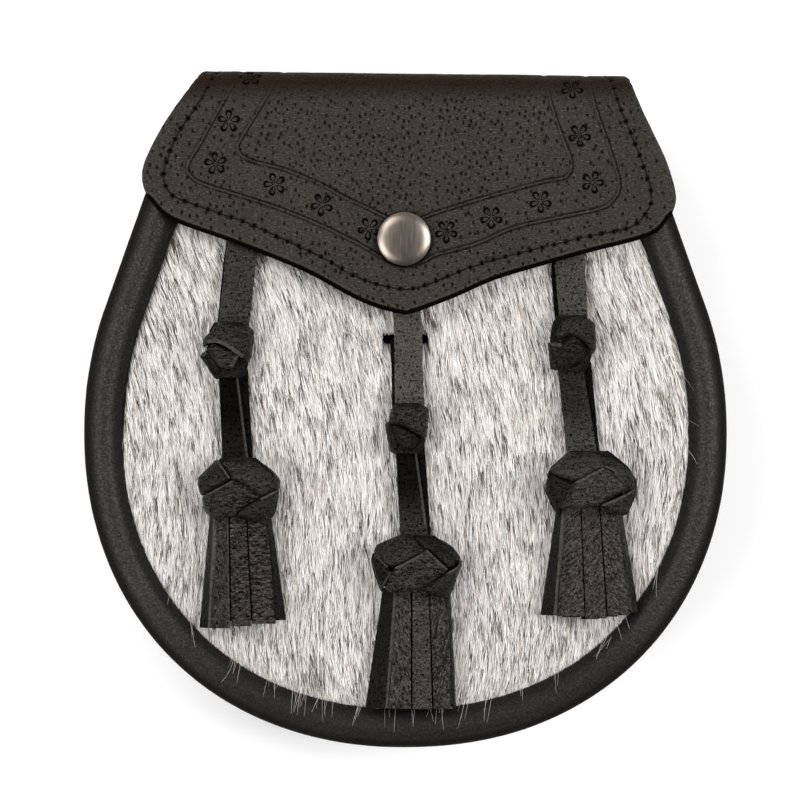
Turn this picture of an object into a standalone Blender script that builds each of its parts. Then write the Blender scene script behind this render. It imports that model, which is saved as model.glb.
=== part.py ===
"""Sporran pouch with a fur front, a tooled leather flap and three leather tassels.

The pouch lies on its back. +X runs across it to the wearer's left, +Y runs up to the fold of
the flap, and +Z comes out of the front. The origin lies on the surface that it rests on, under
the middle of its outline. Every size below is in millimetres and every angle in degrees. The
meshes are made in metres.
"""

import bmesh
import bpy
from math import cos, pi, radians, sin, tan
from mathutils import Vector

MM = 0.001
GAP = 0.3                     # clearance between pieces that touch
CUT_OVERRUN = 1.0             # how far a cutter runs past the faces that it cuts
CURVE_DETAIL = 12             # points between two rows of a table that is read as a smooth curve
SHARP_ANGLE = 35.0            # edges that turn by more than this are drawn sharp
KNOT_SHARP_ANGLE = 60.0
ACROSS = Vector((1.0, 0.0, 0.0))

# Outline of the pouch, seen from the front
HALF_WIDTH = 91.1             # at the widest level
WIDEST_Y = -6.0
LOWER_DEPTH = 89.9            # from the widest level down to the bottom edge
LOWER_POWER = 2.15            # a little squarer than an ellipse, whose power is 2
SHOULDER_RADIUS = 105.0
SHOULDER_SWEEP = 19.5         # lean of the straight sides above the shoulder
SLANT_TOP_Y = 72.0
MOUTH_RADIUS = 44.0
MOUTH_SWEEP = 40.0            # lean of the sides where they end at the mouth
LOWER_STEPS = 12
SHOULDER_STEPS = 3
SLANT_STEPS = 2
MOUTH_STEPS = 3

# Side of the pouch: a rolled rim at the front, another at the back, and the gusset between them
DEPTH = 38.0
WALL = 1.8
ROLL_RADIUS = 5.5
RIM_LAP = 4.0                 # how far each rim runs on over the gusset, past its roll's middle
GUSSET_SLOT = 2 * (WALL + GAP)  # inner side of the slot that holds the gusset's edge
WAIST = 0.9                   # how far the gusset is drawn in between the rims
FLANGE_REACH = 18.0           # how far the sewn flanges run in from the outer edge
FRONT_ROLL_STEPS = 6
BACK_ROLL_STEPS = 4
FRONT_FLANGE_TOP = 31.1
BACK_FLANGE_BOTTOM = 9.3

# Panels
PANEL_INSET = 2 * ROLL_RADIUS + GAP
BACK_PANEL_Z = (BACK_FLANGE_BOTTOM - GAP - 2.0, BACK_FLANGE_BOTTOM - GAP)
FUR_UNDERSIDE = FRONT_FLANGE_TOP + GAP
FUR_TOP = 34.6                # highest point of the combed pile
FUR_EDGE_DROP = 0.8
FUR_COLUMNS = 28
LOCK_DEPTH = 0.45
LOCK_PITCH = 13.0
LOCK_LENGTH = 34.0
LOCK_LEAN = 6.0
LOCK_WANDER = 1.4

# Flap: front outline seen from the front, from its left corner round the tip to its right one
FLAP_THICKNESS = 2.6
FLAP_UNDERSIDE = DEPTH + GAP
FOLD_RADIUS = 10.0
BACK_FOLD_RADIUS = 7.0
FOLD_OUTER_Y = 95.2           # outer face of the fold, at the middle of the pouch
FOLD_TILT = 0.7               # the fold drops to the right
FLAP_COLUMNS_PER_HALF = 9
FLAP_FRONT_ROWS = 9
FOLD_STEPS = 4
TAIL_ROWS = 2
FLAP_LOWER_LEFT = (           # x, y
    (-72.9, 59.6), (-66.4, 53.5), (-49.7, 47.3), (-36.6, 42.2), (-26.7, 37.9),
    (-14.6, 31.3), (-7.2, 28.3), (0.0, 26.6),
)
FLAP_LOWER_RIGHT = (          # x, y
    (0.0, 26.6), (3.9, 27.7), (14.3, 31.7), (25.3, 36.5), (38.9, 40.6), (51.4, 44.1),
    (69.2, 49.0), (75.3, 54.8),
)
FLAP_LEFT_SIDE = (            # x, y
    (-72.9, 59.6), (-74.4, 64.6), (-73.6, 70.1), (-69.2, 79.0), (-64.6, 86.1),
)
FLAP_RIGHT_SIDE = (           # x, y
    (75.3, 54.8), (76.4, 60.3), (73.9, 69.5), (70.0, 78.0), (66.9, 84.4),
)
FRONT_FOLD_END = 0.18         # parts of the way from the front fold's start to the tail's end
BACK_FOLD_START = 0.50
BACK_FOLD_END = 0.68
TAIL_CORNER = 0.92
TAIL_CORNER_MIDDLE = 0.98
FLAP_BACK_EDGES = (           # part of the way, left x, right x
    (0.00, -64.6, 66.9),
    (0.06, -61.2, 65.0),
    (0.12, -58.8, 63.7),
    (FRONT_FOLD_END, -57.9, 63.2),
    (BACK_FOLD_START, -53.0, 57.0),
    (BACK_FOLD_END, -50.5, 52.0),
    (TAIL_CORNER, -50.0, 50.5),
    (TAIL_CORNER_MIDDLE, -48.0, 48.5),
    (1.00, -44.0, 44.5),
)
TAIL_END_Y = 57.0

# Snap
SNAP_CENTER = (-0.4, 48.0)
SNAP_RADIUS = 7.5
SNAP_DOME = 3.2
SNAP_RIM = 0.8
SNAP_DOME_STEPS = 4
POST_RADIUS = 1.8
SOCKET_RADIUS = 5.5
SOCKET_DEPTH = 2.8
STUD_RADIUS = 2.3
STUD_CHAMFER = 0.5
SHANK_RADIUS = 1.3
STUD_FLANGE_RADIUS = 4.0
STUD_FLANGE = 1.2
CLIPPED_RADIUS = 7.0          # the pile is clipped away round the stud
HIDE_TOP = 32.9
SNAP_SIDES = 16

# Tassels: x and y of the middle of each thing, seen from the front
THONG_WIDTH = 8.5
THONG_THICKNESS = 1.3
THONG_BEND = 1.25
THONG_BEND_STEPS = 2
REAR_LAYER_SHIFT = 1.3        # the lower layer shows past the upper one on its right
SLOT_LENGTH = 12.9
SLOT_HEIGHT = 3.0
SLOT_STEPS = 4
TASSELS = {
    "left": {
        "upper_slot": (-45.4, 62.0), "lower_slot": (-45.8, 52.0),
        "small_knot": (-50.0, 16.7), "small_knot_size": (14.2, 15.6),
        "head": (-47.1, -22.6), "head_size": (23.5, 17.8),
        "fringe_end": (-46.0, -61.7), "fringe_width": (16.1, 24.3),
    },
    "center": {
        "upper_slot": (0.0, 33.6), "lower_slot": (0.0, 19.9),
        "small_knot": (0.6, -5.4), "small_knot_size": (12.6, 14.2),
        "head": (3.0, -44.6), "head_size": (25.2, 17.8),
        "fringe_end": (1.6, -84.0), "fringe_width": (18.6, 25.8),
    },
    "right": {
        "upper_slot": (46.1, 59.0), "lower_slot": (46.4, 49.0),
        "small_knot": (46.9, 18.7), "small_knot_size": (14.2, 15.6),
        "head": (52.0, -20.9), "head_size": (25.8, 18.2),
        "fringe_end": (52.1, -59.1), "fringe_width": (18.4, 27.5),
    },
}
TASSEL_FLOOR = FUR_TOP + GAP
SMALL_KNOT_THICKNESS = 8.6
HEAD_THICKNESS = 13.0
SMALL_KNOT_PROFILE = (        # part of the way down, part of the full width
    (0.0, 0.66), (0.14, 0.88), (0.38, 1.0), (0.66, 0.98), (0.88, 0.84), (1.0, 0.62),
)
HEAD_PROFILE = (              # part of the way down, part of the full width
    (0.0, 0.44), (0.12, 0.64), (0.28, 0.90), (0.42, 1.0), (0.60, 0.96), (0.80, 0.84), (0.93, 0.75),
    (1.0, 0.66),
)
KNOT_POWER = 2.6              # squareness of a knot's cross-section
KNOT_SIDES = 16
SMALL_KNOT_WRAPS = 2
HEAD_WRAPS = 4
SMALL_KNOT_RELIEF = 0.05
HEAD_RELIEF = 0.06

# Fringe: two layers of cut strips, fused to a collar under the head knot
STRIPS = 5
STRIP_THICKNESS = 1.6
STRIP_STEPS = 4
STRIP_PART = 0.92             # width of a strip as a part of its share of the fringe
COLLAR_LENGTH = 3.0
REAR_STRIPS_SHORTER = 2.4
REAR_STRIPS_ASIDE = 0.3       # how far they hang beside the front ones, as a part of a share
FRINGE_ARCH = 3.0             # how much higher the middle of the front layer is than its sides
FRINGE_TOP_SPREAD = 2.6       # between the two layers, at the collar
FRINGE_END_SPREAD = 2.1       # between the two layers, at the cut ends
FRINGE_LIFT = 0.2
CUT_UNEVENNESS = 0.6
STRIP_SWAY = 0.4

# Belt loops on the back
LOOP_X = 33.0
LOOP_WIDTH = 16.0
LOOP_THICKNESS = 1.6
LOOP_TOP_Y = 50.0
LOOP_BOTTOM_Y = 14.0
LOOP_TAB = 6.0
LOOP_RISE_LENGTH = 4.0
LOOP_LOWEST_Z = 0.5

MATERIALS = {                 # colour (linear), roughness, metallic
    "flap_leather": ((0.030, 0.025, 0.018), 0.62, 0.0),
    "rim_leather": ((0.014, 0.013, 0.012), 0.45, 0.0),
    "back_leather": ((0.016, 0.015, 0.014), 0.55, 0.0),
    "tassel_leather": ((0.017, 0.015, 0.013), 0.50, 0.0),
    "fur": ((0.68, 0.64, 0.58), 0.90, 0.0),
    "nickel": ((0.30, 0.26, 0.23), 0.32, 1.0),
}


# ---------------------------------------------------------------- materials and objects

def make_material(name):
    colour, roughness, metallic = MATERIALS[name]
    material = bpy.data.materials.new(name)
    material.use_nodes = True
    material.diffuse_color = (*colour, 1.0)
    shader = material.node_tree.nodes["Principled BSDF"]
    shader.inputs["Base Color"].default_value = (*colour, 1.0)
    shader.inputs["Roughness"].default_value = roughness
    shader.inputs["Metallic"].default_value = metallic
    return material


def add_piece(name, shape, material, parent=None, sharp_angle=SHARP_ANGLE):
    """Add an object from (vertices, faces), with its faces turned outwards and shaded smooth."""
    vertices, faces = shape
    mesh = bpy.data.meshes.new(name)
    mesh.from_pydata([Vector(vertex) * MM for vertex in vertices], [], faces)
    form = bmesh.new()
    form.from_mesh(mesh)
    bmesh.ops.remove_doubles(form, verts=form.verts, dist=0.001 * MM)
    bmesh.ops.recalc_face_normals(form, faces=form.faces)
    form.to_mesh(mesh)
    form.free()
    mesh.shade_smooth()
    mesh.set_sharp_from_angle(angle=radians(sharp_angle))
    piece = bpy.data.objects.new(name, mesh)
    bpy.context.collection.objects.link(piece)
    piece.parent = parent
    if material:
        mesh.materials.append(material)
    return piece


def cut(piece, name, shape):
    """Cut a hidden shape out of a piece."""
    cutter = add_piece(name, shape, None)
    cutter.hide_render = True
    cutter.display_type = "WIRE"
    boolean = piece.modifiers.new(name, "BOOLEAN")
    boolean.operation = "DIFFERENCE"
    boolean.solver = "EXACT"
    boolean.object = cutter


# ---------------------------------------------------------------- shapes

def joined(*shapes):
    """Several shapes as one list of vertices and faces."""
    vertices = []
    faces = []
    for more_vertices, more_faces in shapes:
        start = len(vertices)
        vertices.extend(more_vertices)
        faces.extend(tuple(start + corner for corner in face) for face in more_faces)
    return vertices, faces


def loft(rings):
    """A closed skin through rings of equal length, with a flat cap at each end."""
    count = len(rings[0])
    vertices = [point for ring in rings for point in ring]
    faces = []
    for level in range(len(rings) - 1):
        for side in range(count):
            here = level * count + side
            beside = level * count + (side + 1) % count
            faces.append((here, beside, beside + count, here + count))
    last = (len(rings) - 1) * count
    faces.append(tuple(range(count))[::-1])
    faces.append(tuple(range(last, last + count)))
    return vertices, faces


def turned(profile, center, sides):
    """A closed turned shape from rows of (radius, z), which start and end on the axis."""
    middle = [row for row in profile if row[0] > 0.0]
    rings = [
        [
            (center[0] + radius * cos(2 * pi * side / sides),
             center[1] + radius * sin(2 * pi * side / sides), z)
            for side in range(sides)
        ]
        for radius, z in middle
    ]
    return loft(rings)


def sheet(upper, lower):
    """A closed sheet between two grids of points with the same rows and columns."""
    rows = len(upper)
    columns = len(upper[0])
    vertices = [point for row in upper for point in row] + [point for row in lower for point in row]
    under = rows * columns
    faces = []
    for row in range(rows - 1):
        for column in range(columns - 1):
            corner = row * columns + column
            quad = (corner, corner + 1, corner + columns + 1, corner + columns)
            faces.append(quad)
            faces.append(tuple(under + index for index in quad[::-1]))
    for here, beside in border_edges(rows, columns):
        faces.append((beside, here, under + here, under + beside))
    return vertices, faces


def border_edges(rows, columns):
    """Pairs of neighbouring points round the border of a grid, in order."""
    border = [column for column in range(columns)]
    border += [row * columns + columns - 1 for row in range(1, rows)]
    border += [(rows - 1) * columns + column for column in range(columns - 2, -1, -1)]
    border += [row * columns for row in range(rows - 2, 0, -1)]
    return [(border[index], border[(index + 1) % len(border)]) for index in range(len(border))]


def band(path, width, thickness):
    """A flat closed band along a path of points, with its width across the pouch."""
    rings = []
    for index, point in enumerate(path):
        before = path[max(index - 1, 0)]
        after = path[min(index + 1, len(path) - 1)]
        lift = ACROSS.cross(after - before).normalized() * thickness / 2
        side = ACROSS * width / 2
        low = point - lift
        high = point + lift
        rings.append([low - side, low + side, high + side, high - side])
    return loft(rings)


def smooth_curve(points, count):
    """Points evenly spaced by length on a smooth curve through the given ones."""
    knots = [Vector(point) for point in points]
    knots = [2 * knots[0] - knots[1]] + knots + [2 * knots[-1] - knots[-2]]
    dense = [knots[1]]
    for index in range(1, len(knots) - 2):
        before, start, end, after = knots[index - 1:index + 3]
        for step in range(1, CURVE_DETAIL + 1):
            part = step / CURVE_DETAIL
            dense.append(
                0.5 * (2 * start + (end - before) * part
                       + (2 * before - 5 * start + 4 * end - after) * part ** 2
                       + (3 * start - before - 3 * end + after) * part ** 3))
    lengths = [0.0]
    for start, end in zip(dense, dense[1:]):
        lengths.append(lengths[-1] + (end - start).length)
    curve = []
    for step in range(count + 1):
        wanted = lengths[-1] * step / count
        index = next(i for i in range(1, len(lengths)) if lengths[i] >= wanted - 1e-6)
        part = (wanted - lengths[index - 1]) / (lengths[index] - lengths[index - 1])
        curve.append(dense[index - 1].lerp(dense[index], part))
    return curve


def table_value(rows, position, column=1):
    """Read a table of rows that start with a position, with straight steps between its rows."""
    for low, high in zip(rows, rows[1:]):
        if position <= high[0]:
            part = (position - low[0]) / (high[0] - low[0])
            return low[column] + (high[column] - low[column]) * part
    return rows[-1][column]


# ---------------------------------------------------------------- pouch outline

def half_outline():
    """Outer edge of the right half, from the middle of the bottom up to the mouth."""
    points = []
    for step in range(LOWER_STEPS + 1):
        turn = 0.5 * pi * step / LOWER_STEPS
        points.append((HALF_WIDTH * sin(turn) ** (2 / LOWER_POWER),
                       WIDEST_Y - LOWER_DEPTH * max(cos(turn), 0.0) ** (2 / LOWER_POWER)))
    shoulder_x = HALF_WIDTH - SHOULDER_RADIUS
    for step in range(1, SHOULDER_STEPS + 1):
        turn = radians(SHOULDER_SWEEP) * step / SHOULDER_STEPS
        points.append((shoulder_x + SHOULDER_RADIUS * cos(turn), WIDEST_Y + SHOULDER_RADIUS * sin(turn)))
    slant_x, slant_y = points[-1]
    for step in range(1, SLANT_STEPS + 1):
        rise = (SLANT_TOP_Y - slant_y) * step / SLANT_STEPS
        points.append((slant_x - rise * tan(radians(SHOULDER_SWEEP)), slant_y + rise))
    start = radians(SHOULDER_SWEEP)
    center_x = points[-1][0] - MOUTH_RADIUS * cos(start)
    center_y = points[-1][1] - MOUTH_RADIUS * sin(start)
    for step in range(1, MOUTH_STEPS + 1):
        turn = start + (radians(MOUTH_SWEEP) - start) * step / MOUTH_STEPS
        points.append((center_x + MOUTH_RADIUS * cos(turn), center_y + MOUTH_RADIUS * sin(turn)))
    return points


def stations():
    """Points round the whole outer edge, left mouth to right mouth, with inward directions."""
    right = [Vector(point) for point in half_outline()]
    edge = [Vector((-point.x, point.y)) for point in right[:0:-1]] + right
    result = []
    for index, point in enumerate(edge):
        along = edge[min(index + 1, len(edge) - 1)] - edge[max(index - 1, 0)]
        result.append((point, Vector((-along.y, along.x)).normalized()))
    return result


def inset(distance):
    """The outer edge moved inwards."""
    return [point + inward * distance for point, inward in stations()]


# ---------------------------------------------------------------- pouch

def roll(center_z, start, end, steps):
    """Points (inset, z) on an arc round a rim's core."""
    arc = []
    for step in range(steps + 1):
        turn = radians(start + (end - start) * step / steps)
        arc.append((ROLL_RADIUS * (1.0 + cos(turn)), center_z + ROLL_RADIUS * sin(turn)))
    return arc


def front_rim_section():
    """Closed section (inset, z) of the front rim: leather rolled over a cord, lapped on the gusset."""
    core = DEPTH - ROLL_RADIUS
    under = FRONT_FLANGE_TOP - WALL
    upper = [(FLANGE_REACH, FRONT_FLANGE_TOP), (2 * ROLL_RADIUS, FRONT_FLANGE_TOP)]
    lower = [(0.0, core - RIM_LAP), (WALL, core - RIM_LAP), (WALL, core), (GUSSET_SLOT, core),
             (GUSSET_SLOT, under), (FLANGE_REACH, under)]
    return upper + roll(core, 0, 180, FRONT_ROLL_STEPS) + lower


def gusset_section():
    """Closed section of the gusset, whose two edges run up inside the rims."""
    seat = WALL + GAP
    low = ROLL_RADIUS + GAP
    side = (
        (seat, low), (seat, low + RIM_LAP), (seat + WAIST, DEPTH / 2), (seat, DEPTH - low - RIM_LAP),
        (seat, DEPTH - low),
    )
    return list(side) + [(inset_by + WALL, z) for inset_by, z in side[::-1]]


def back_rim_section():
    """Closed section of the back rim, the same from behind."""
    core = ROLL_RADIUS
    above = BACK_FLANGE_BOTTOM + WALL
    upper = [(FLANGE_REACH, above), (GUSSET_SLOT, above), (GUSSET_SLOT, core), (WALL, core),
             (WALL, core + RIM_LAP), (0.0, core + RIM_LAP)]
    lower = [(2 * ROLL_RADIUS, BACK_FLANGE_BOTTOM), (FLANGE_REACH, BACK_FLANGE_BOTTOM)]
    return upper + roll(core, 180, 360, BACK_ROLL_STEPS) + lower


def side_shape(section):
    """A section carried round the outline of the pouch, from one side of the mouth to the other."""
    return loft([
        [(*(point + inward * inset_by), z) for inset_by, z in section]
        for point, inward in stations()
    ])


def back_panel_shape():
    edge = inset(PANEL_INSET)
    low, high = BACK_PANEL_Z
    return loft([[(*point, low) for point in edge], [(*point, high) for point in edge]])


def fur_height(x, y):
    """Top of the combed pile: crowned in the middle, in locks that lean as they run down."""
    across = x / HALF_WIDTH
    down = (y - WIDEST_Y) / LOWER_DEPTH
    crown = 1.0 - min(across * across + down * down, 1.0)
    lean = LOCK_LEAN * sin(y / LOCK_LENGTH) * (1.0 if x > 0 else -1.0)
    wander = LOCK_WANDER * sin(2 * y / LOCK_LENGTH)
    lock = 0.5 + 0.5 * cos(2 * pi * (x + lean) / LOCK_PITCH + wander)
    return FUR_TOP - FUR_EDGE_DROP * (1.0 - crown) - LOCK_DEPTH * lock


def fur_panel_shape():
    """Crowned top between matching points of the left and right edge, over a flat underside."""
    edge = inset(PANEL_INSET)
    bottom = len(edge) // 2
    rows = []
    for level in range(bottom):
        left = edge[level]
        right = edge[-1 - level]
        row = [left.lerp(right, column / FUR_COLUMNS) for column in range(FUR_COLUMNS + 1)]
        rows.append([(point.x, point.y, fur_height(point.x, point.y)) for point in row])
    tip = (edge[bottom].x, edge[bottom].y, fur_height(edge[bottom].x, edge[bottom].y))
    columns = FUR_COLUMNS + 1
    vertices = [point for row in rows for point in row] + [tip]
    tip_index = len(vertices) - 1
    faces = []
    for level in range(bottom - 1):
        for column in range(FUR_COLUMNS):
            corner = level * columns + column
            faces.append((corner, corner + 1, corner + columns + 1, corner + columns))
    last = (bottom - 1) * columns
    for column in range(FUR_COLUMNS):
        faces.append((last + column, last + column + 1, tip_index))
    border = list(range(columns))
    border += [level * columns + FUR_COLUMNS for level in range(1, bottom)] + [tip_index]
    border += [level * columns for level in range(bottom - 1, 0, -1)]
    under = len(vertices)
    vertices += [(vertices[index][0], vertices[index][1], FUR_UNDERSIDE) for index in border]
    for index, here in enumerate(border):
        after = (index + 1) % len(border)
        faces.append((here, under + index, under + after, border[after]))
    faces.append(tuple(under + index for index in range(len(border))))
    return vertices, faces


def slot_shape(center):
    """Upright cutter with round ends for one slot in the fur panel."""
    straight = (SLOT_LENGTH - SLOT_HEIGHT) / 2
    ring = []
    for side, start in ((1, -90), (-1, 90)):
        for step in range(SLOT_STEPS + 1):
            turn = radians(start + 180 * step / SLOT_STEPS)
            ring.append((center[0] + side * straight + SLOT_HEIGHT / 2 * cos(turn),
                         center[1] + SLOT_HEIGHT / 2 * sin(turn)))
    low = FUR_UNDERSIDE - CUT_OVERRUN
    high = FUR_TOP + CUT_OVERRUN
    return loft([[(x, y, low) for x, y in ring], [(x, y, high) for x, y in ring]])


def stud_seat_shape():
    """Turned cutter for the clipped patch and the hole under the snap."""
    hole = SHANK_RADIUS + GAP
    profile = ((hole, FUR_UNDERSIDE - CUT_OVERRUN), (hole, HIDE_TOP), (CLIPPED_RADIUS, HIDE_TOP),
               (CLIPPED_RADIUS, FUR_TOP + CUT_OVERRUN))
    return turned(profile, SNAP_CENTER, SNAP_SIDES)


# ---------------------------------------------------------------- flap

def fold_start_y(x):
    """Where the front face ends and the fold begins."""
    return FOLD_OUTER_Y - FOLD_RADIUS - x * tan(radians(FOLD_TILT))


def flap_front_points():
    """Front face of the flap, as rows of (x, y) from its lower edge up to the fold."""
    lower = smooth_curve(FLAP_LOWER_LEFT, FLAP_COLUMNS_PER_HALF)[:-1]
    lower += smooth_curve(FLAP_LOWER_RIGHT, FLAP_COLUMNS_PER_HALF)
    left = smooth_curve(FLAP_LEFT_SIDE, FLAP_FRONT_ROWS)
    right = smooth_curve(FLAP_RIGHT_SIDE, FLAP_FRONT_ROWS)
    count = len(lower) - 1
    rows = []
    for level in range(FLAP_FRONT_ROWS + 1):
        up = level / FLAP_FRONT_ROWS
        row = []
        for column, below in enumerate(lower):
            across = column / count
            above = left[-1].lerp(right[-1], across)
            sides = left[level].lerp(right[level], across)
            corners = lower[0].lerp(lower[-1], across).lerp(above, up)
            row.append(below.lerp(above, up) + sides - corners)
        rows.append(row)
    return rows


def fold_path(inner):
    """Section of the flap behind its front face, as (part of the way, y past the fold, z)."""
    skin = FLAP_THICKNESS if inner else 0.0
    front_radius = FOLD_RADIUS - skin
    back_radius = BACK_FOLD_RADIUS - skin
    top_z = FLAP_UNDERSIDE + FLAP_THICKNESS - FOLD_RADIUS
    tail_z = BACK_PANEL_Z[0] - GAP - FLAP_THICKNESS
    low_z = tail_z + BACK_FOLD_RADIUS
    back_y = FOLD_RADIUS - BACK_FOLD_RADIUS
    path = []
    for step in range(1, FOLD_STEPS + 1):
        part = step / FOLD_STEPS
        turn = 0.5 * pi * part
        path.append((FRONT_FOLD_END * part, front_radius * sin(turn), top_z + front_radius * cos(turn)))
    for step in range(FOLD_STEPS + 1):
        part = step / FOLD_STEPS
        turn = 0.5 * pi * part
        path.append((BACK_FOLD_START + (BACK_FOLD_END - BACK_FOLD_START) * part,
                     back_y + back_radius * cos(turn), low_z - back_radius * sin(turn)))
    end_y = TAIL_END_Y - (FOLD_OUTER_Y - FOLD_RADIUS)
    row_step = (TAIL_CORNER - BACK_FOLD_END) / TAIL_ROWS
    ways = [BACK_FOLD_END + row_step * row for row in range(1, TAIL_ROWS + 1)]
    for way in ways + [TAIL_CORNER_MIDDLE, 1.0]:
        part = (way - BACK_FOLD_END) / (1.0 - BACK_FOLD_END)
        path.append((way, back_y + (end_y - back_y) * part, tail_z + skin))
    return path


def flap_grid(inner):
    """One face of the whole flap, from its lower front edge over the fold to the tail's end."""
    front_z = FLAP_UNDERSIDE if inner else FLAP_UNDERSIDE + FLAP_THICKNESS
    front = flap_front_points()
    grid = [[(point.x, point.y, front_z) for point in row] for row in front]
    count = len(front[0]) - 1
    for way, past_fold, z in fold_path(inner):
        left = table_value(FLAP_BACK_EDGES, way, 1)
        right = table_value(FLAP_BACK_EDGES, way, 2)
        row = []
        for column in range(count + 1):
            x = left + (right - left) * column / count
            row.append((x, fold_start_y(x) + past_fold, z))
        grid.append(row)
    return grid


def flap_shape():
    return sheet(flap_grid(inner=False), flap_grid(inner=True))


def flap_hole_shape():
    radius = POST_RADIUS + GAP
    profile = ((radius, FLAP_UNDERSIDE - CUT_OVERRUN),
               (radius, FLAP_UNDERSIDE + FLAP_THICKNESS + CUT_OVERRUN))
    return turned(profile, SNAP_CENTER, SNAP_SIDES)


# ---------------------------------------------------------------- snap

def snap_cap_shape():
    """Dome on the flap, with its post and the socket under the flap in one piece."""
    seat = FLAP_UNDERSIDE + FLAP_THICKNESS + GAP
    socket_top = FLAP_UNDERSIDE - GAP
    socket_bottom = socket_top - SOCKET_DEPTH
    recess = STUD_RADIUS + GAP
    profile = []
    for step in range(1, SNAP_DOME_STEPS + 1):
        turn = 0.5 * pi * step / SNAP_DOME_STEPS
        profile.append((SNAP_RADIUS * sin(turn), seat + SNAP_RIM + (SNAP_DOME - SNAP_RIM) * cos(turn)))
    profile += [(SNAP_RADIUS, seat), (POST_RADIUS, seat), (POST_RADIUS, socket_top),
                (SOCKET_RADIUS, socket_top), (SOCKET_RADIUS, socket_bottom), (recess, socket_bottom),
                (recess, socket_bottom + STUD_FLANGE + GAP)]
    return turned(profile, SNAP_CENTER, SNAP_SIDES)


def snap_stud_shape():
    """Stud riveted through the fur panel, with its head inside the socket."""
    socket_bottom = FLAP_UNDERSIDE - GAP - SOCKET_DEPTH
    head_top = socket_bottom + STUD_FLANGE
    flange_top = socket_bottom - GAP
    inside = FUR_UNDERSIDE - GAP
    profile = ((STUD_RADIUS - STUD_CHAMFER, head_top), (STUD_RADIUS, head_top - STUD_CHAMFER),
               (SHANK_RADIUS, flange_top), (STUD_FLANGE_RADIUS, flange_top),
               (STUD_FLANGE_RADIUS, HIDE_TOP + GAP), (SHANK_RADIUS, HIDE_TOP + GAP),
               (SHANK_RADIUS, inside), (STUD_FLANGE_RADIUS, inside),
               (STUD_FLANGE_RADIUS, inside - STUD_FLANGE))
    return turned(profile, SNAP_CENTER, SNAP_SIDES)


# ---------------------------------------------------------------- tassels

def bend_points(center, radius, start, end, x):
    """Points round a bend of a thong, in the plane that runs up the pouch."""
    points = []
    for step in range(THONG_BEND_STEPS + 1):
        turn = radians(start + (end - start) * step / THONG_BEND_STEPS)
        points.append(Vector((x, center[0] + radius * cos(turn), center[1] + radius * sin(turn))))
    return points


def thong_shape(tassel):
    """Thong from the small knot up, in at the upper slot, out at the lower one and back down."""
    knot_x, knot_y = tassel["small_knot"]
    knot_end = knot_y + tassel["small_knot_size"][1] / 2 + GAP
    rear_z = TASSEL_FLOOR + THONG_THICKNESS / 2
    front_z = rear_z + THONG_THICKNESS + GAP
    inside_z = FUR_UNDERSIDE - GAP - THONG_THICKNESS / 2
    upper_x, upper_y = tassel["upper_slot"]
    lower_x, lower_y = tassel["lower_slot"]
    rear_x = lower_x + REAR_LAYER_SHIFT
    bend = THONG_BEND
    path = [Vector((knot_x, knot_end, front_z))]
    path += bend_points((upper_y - bend, front_z - bend), bend, 90, 0, upper_x)
    path += bend_points((upper_y - bend, inside_z + bend), bend, 0, -90, upper_x)
    path += bend_points((lower_y + bend, inside_z + bend), bend, 270, 180, rear_x)
    path += bend_points((lower_y - bend, rear_z - bend), bend, 0, 90, rear_x)
    path.append(Vector((knot_x + REAR_LAYER_SHIFT, knot_end, rear_z)))
    return band(path, THONG_WIDTH, THONG_THICKNESS)


def drop_shape(tassel):
    """The two layers between the knots as one stepped band."""
    top = Vector(tassel["small_knot"])
    top.y -= tassel["small_knot_size"][1] / 2 + GAP
    end = Vector(tassel["head"])
    end.y += tassel["head_size"][1] / 2 + GAP
    low = TASSEL_FLOOR
    middle = low + THONG_THICKNESS
    high = middle + THONG_THICKNESS
    half = THONG_WIDTH / 2
    shift = REAR_LAYER_SHIFT
    section = ((-half + shift, low), (half + shift, low), (half + shift, middle), (half, middle),
               (half, high), (-half, high), (-half, middle), (-half + shift, middle))
    rings = []
    for part in (0.0, 0.5, 1.0):
        place = top.lerp(end, part)
        rings.append([(place.x + across, place.y, z) for across, z in section])
    return loft(rings)


def knot_shape(center, size, thickness, profile, wraps, relief):
    """Flattened barrel with crossing bands in low relief, resting on the fur."""
    width, length = size
    widest = max(profile, key=lambda row: row[1])[0]
    rings = []
    for down, part in profile:
        y = center[1] + length / 2 - length * down
        ring = []
        for side in range(KNOT_SIDES):
            turn = 2 * pi * side / KNOT_SIDES
            from_widest = 2 * pi * (down - widest)
            weave = max(cos(wraps * turn + from_widest), cos(wraps * turn - from_widest))
            swell = part * (1.0 - relief * (1.0 - weave) * sin(pi * down))
            across = (abs(cos(turn)) ** (2 / KNOT_POWER)) * (1 if cos(turn) >= 0 else -1)
            upward = (abs(sin(turn)) ** (2 / KNOT_POWER)) * (1 if sin(turn) >= 0 else -1)
            ring.append((center[0] + width / 2 * swell * across, y,
                         TASSEL_FLOOR + thickness / 2 * (1.0 + swell * upward)))
        rings.append(ring)
    return loft(rings)


def strip_edges(center, width, count):
    """Left and right edge of each of a row of strips."""
    share = width / count
    edges = []
    for strip in range(count):
        middle = center - width / 2 + share * (strip + 0.5)
        edges.append((middle - share * STRIP_PART / 2, middle + share * STRIP_PART / 2))
    return edges


def fringe_section(tassel, part):
    """Level, edges of the strips and base of each layer, part of the way down the fringe."""
    head_x, head_y = tassel["head"]
    top_y = head_y - tassel["head_size"][1] / 2 - GAP
    end_x, end_y = tassel["fringe_end"]
    top_width, end_width = tassel["fringe_width"]
    y = top_y + (end_y - top_y) * part
    middle = head_x + (end_x - head_x) * part
    edges = strip_edges(middle, top_width + (end_width - top_width) * part, STRIPS)
    spread = FRINGE_TOP_SPREAD + (FRINGE_END_SPREAD - FRINGE_TOP_SPREAD) * part
    rear = TASSEL_FLOOR + FRINGE_LIFT
    return y, edges, (rear, rear + spread)


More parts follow.
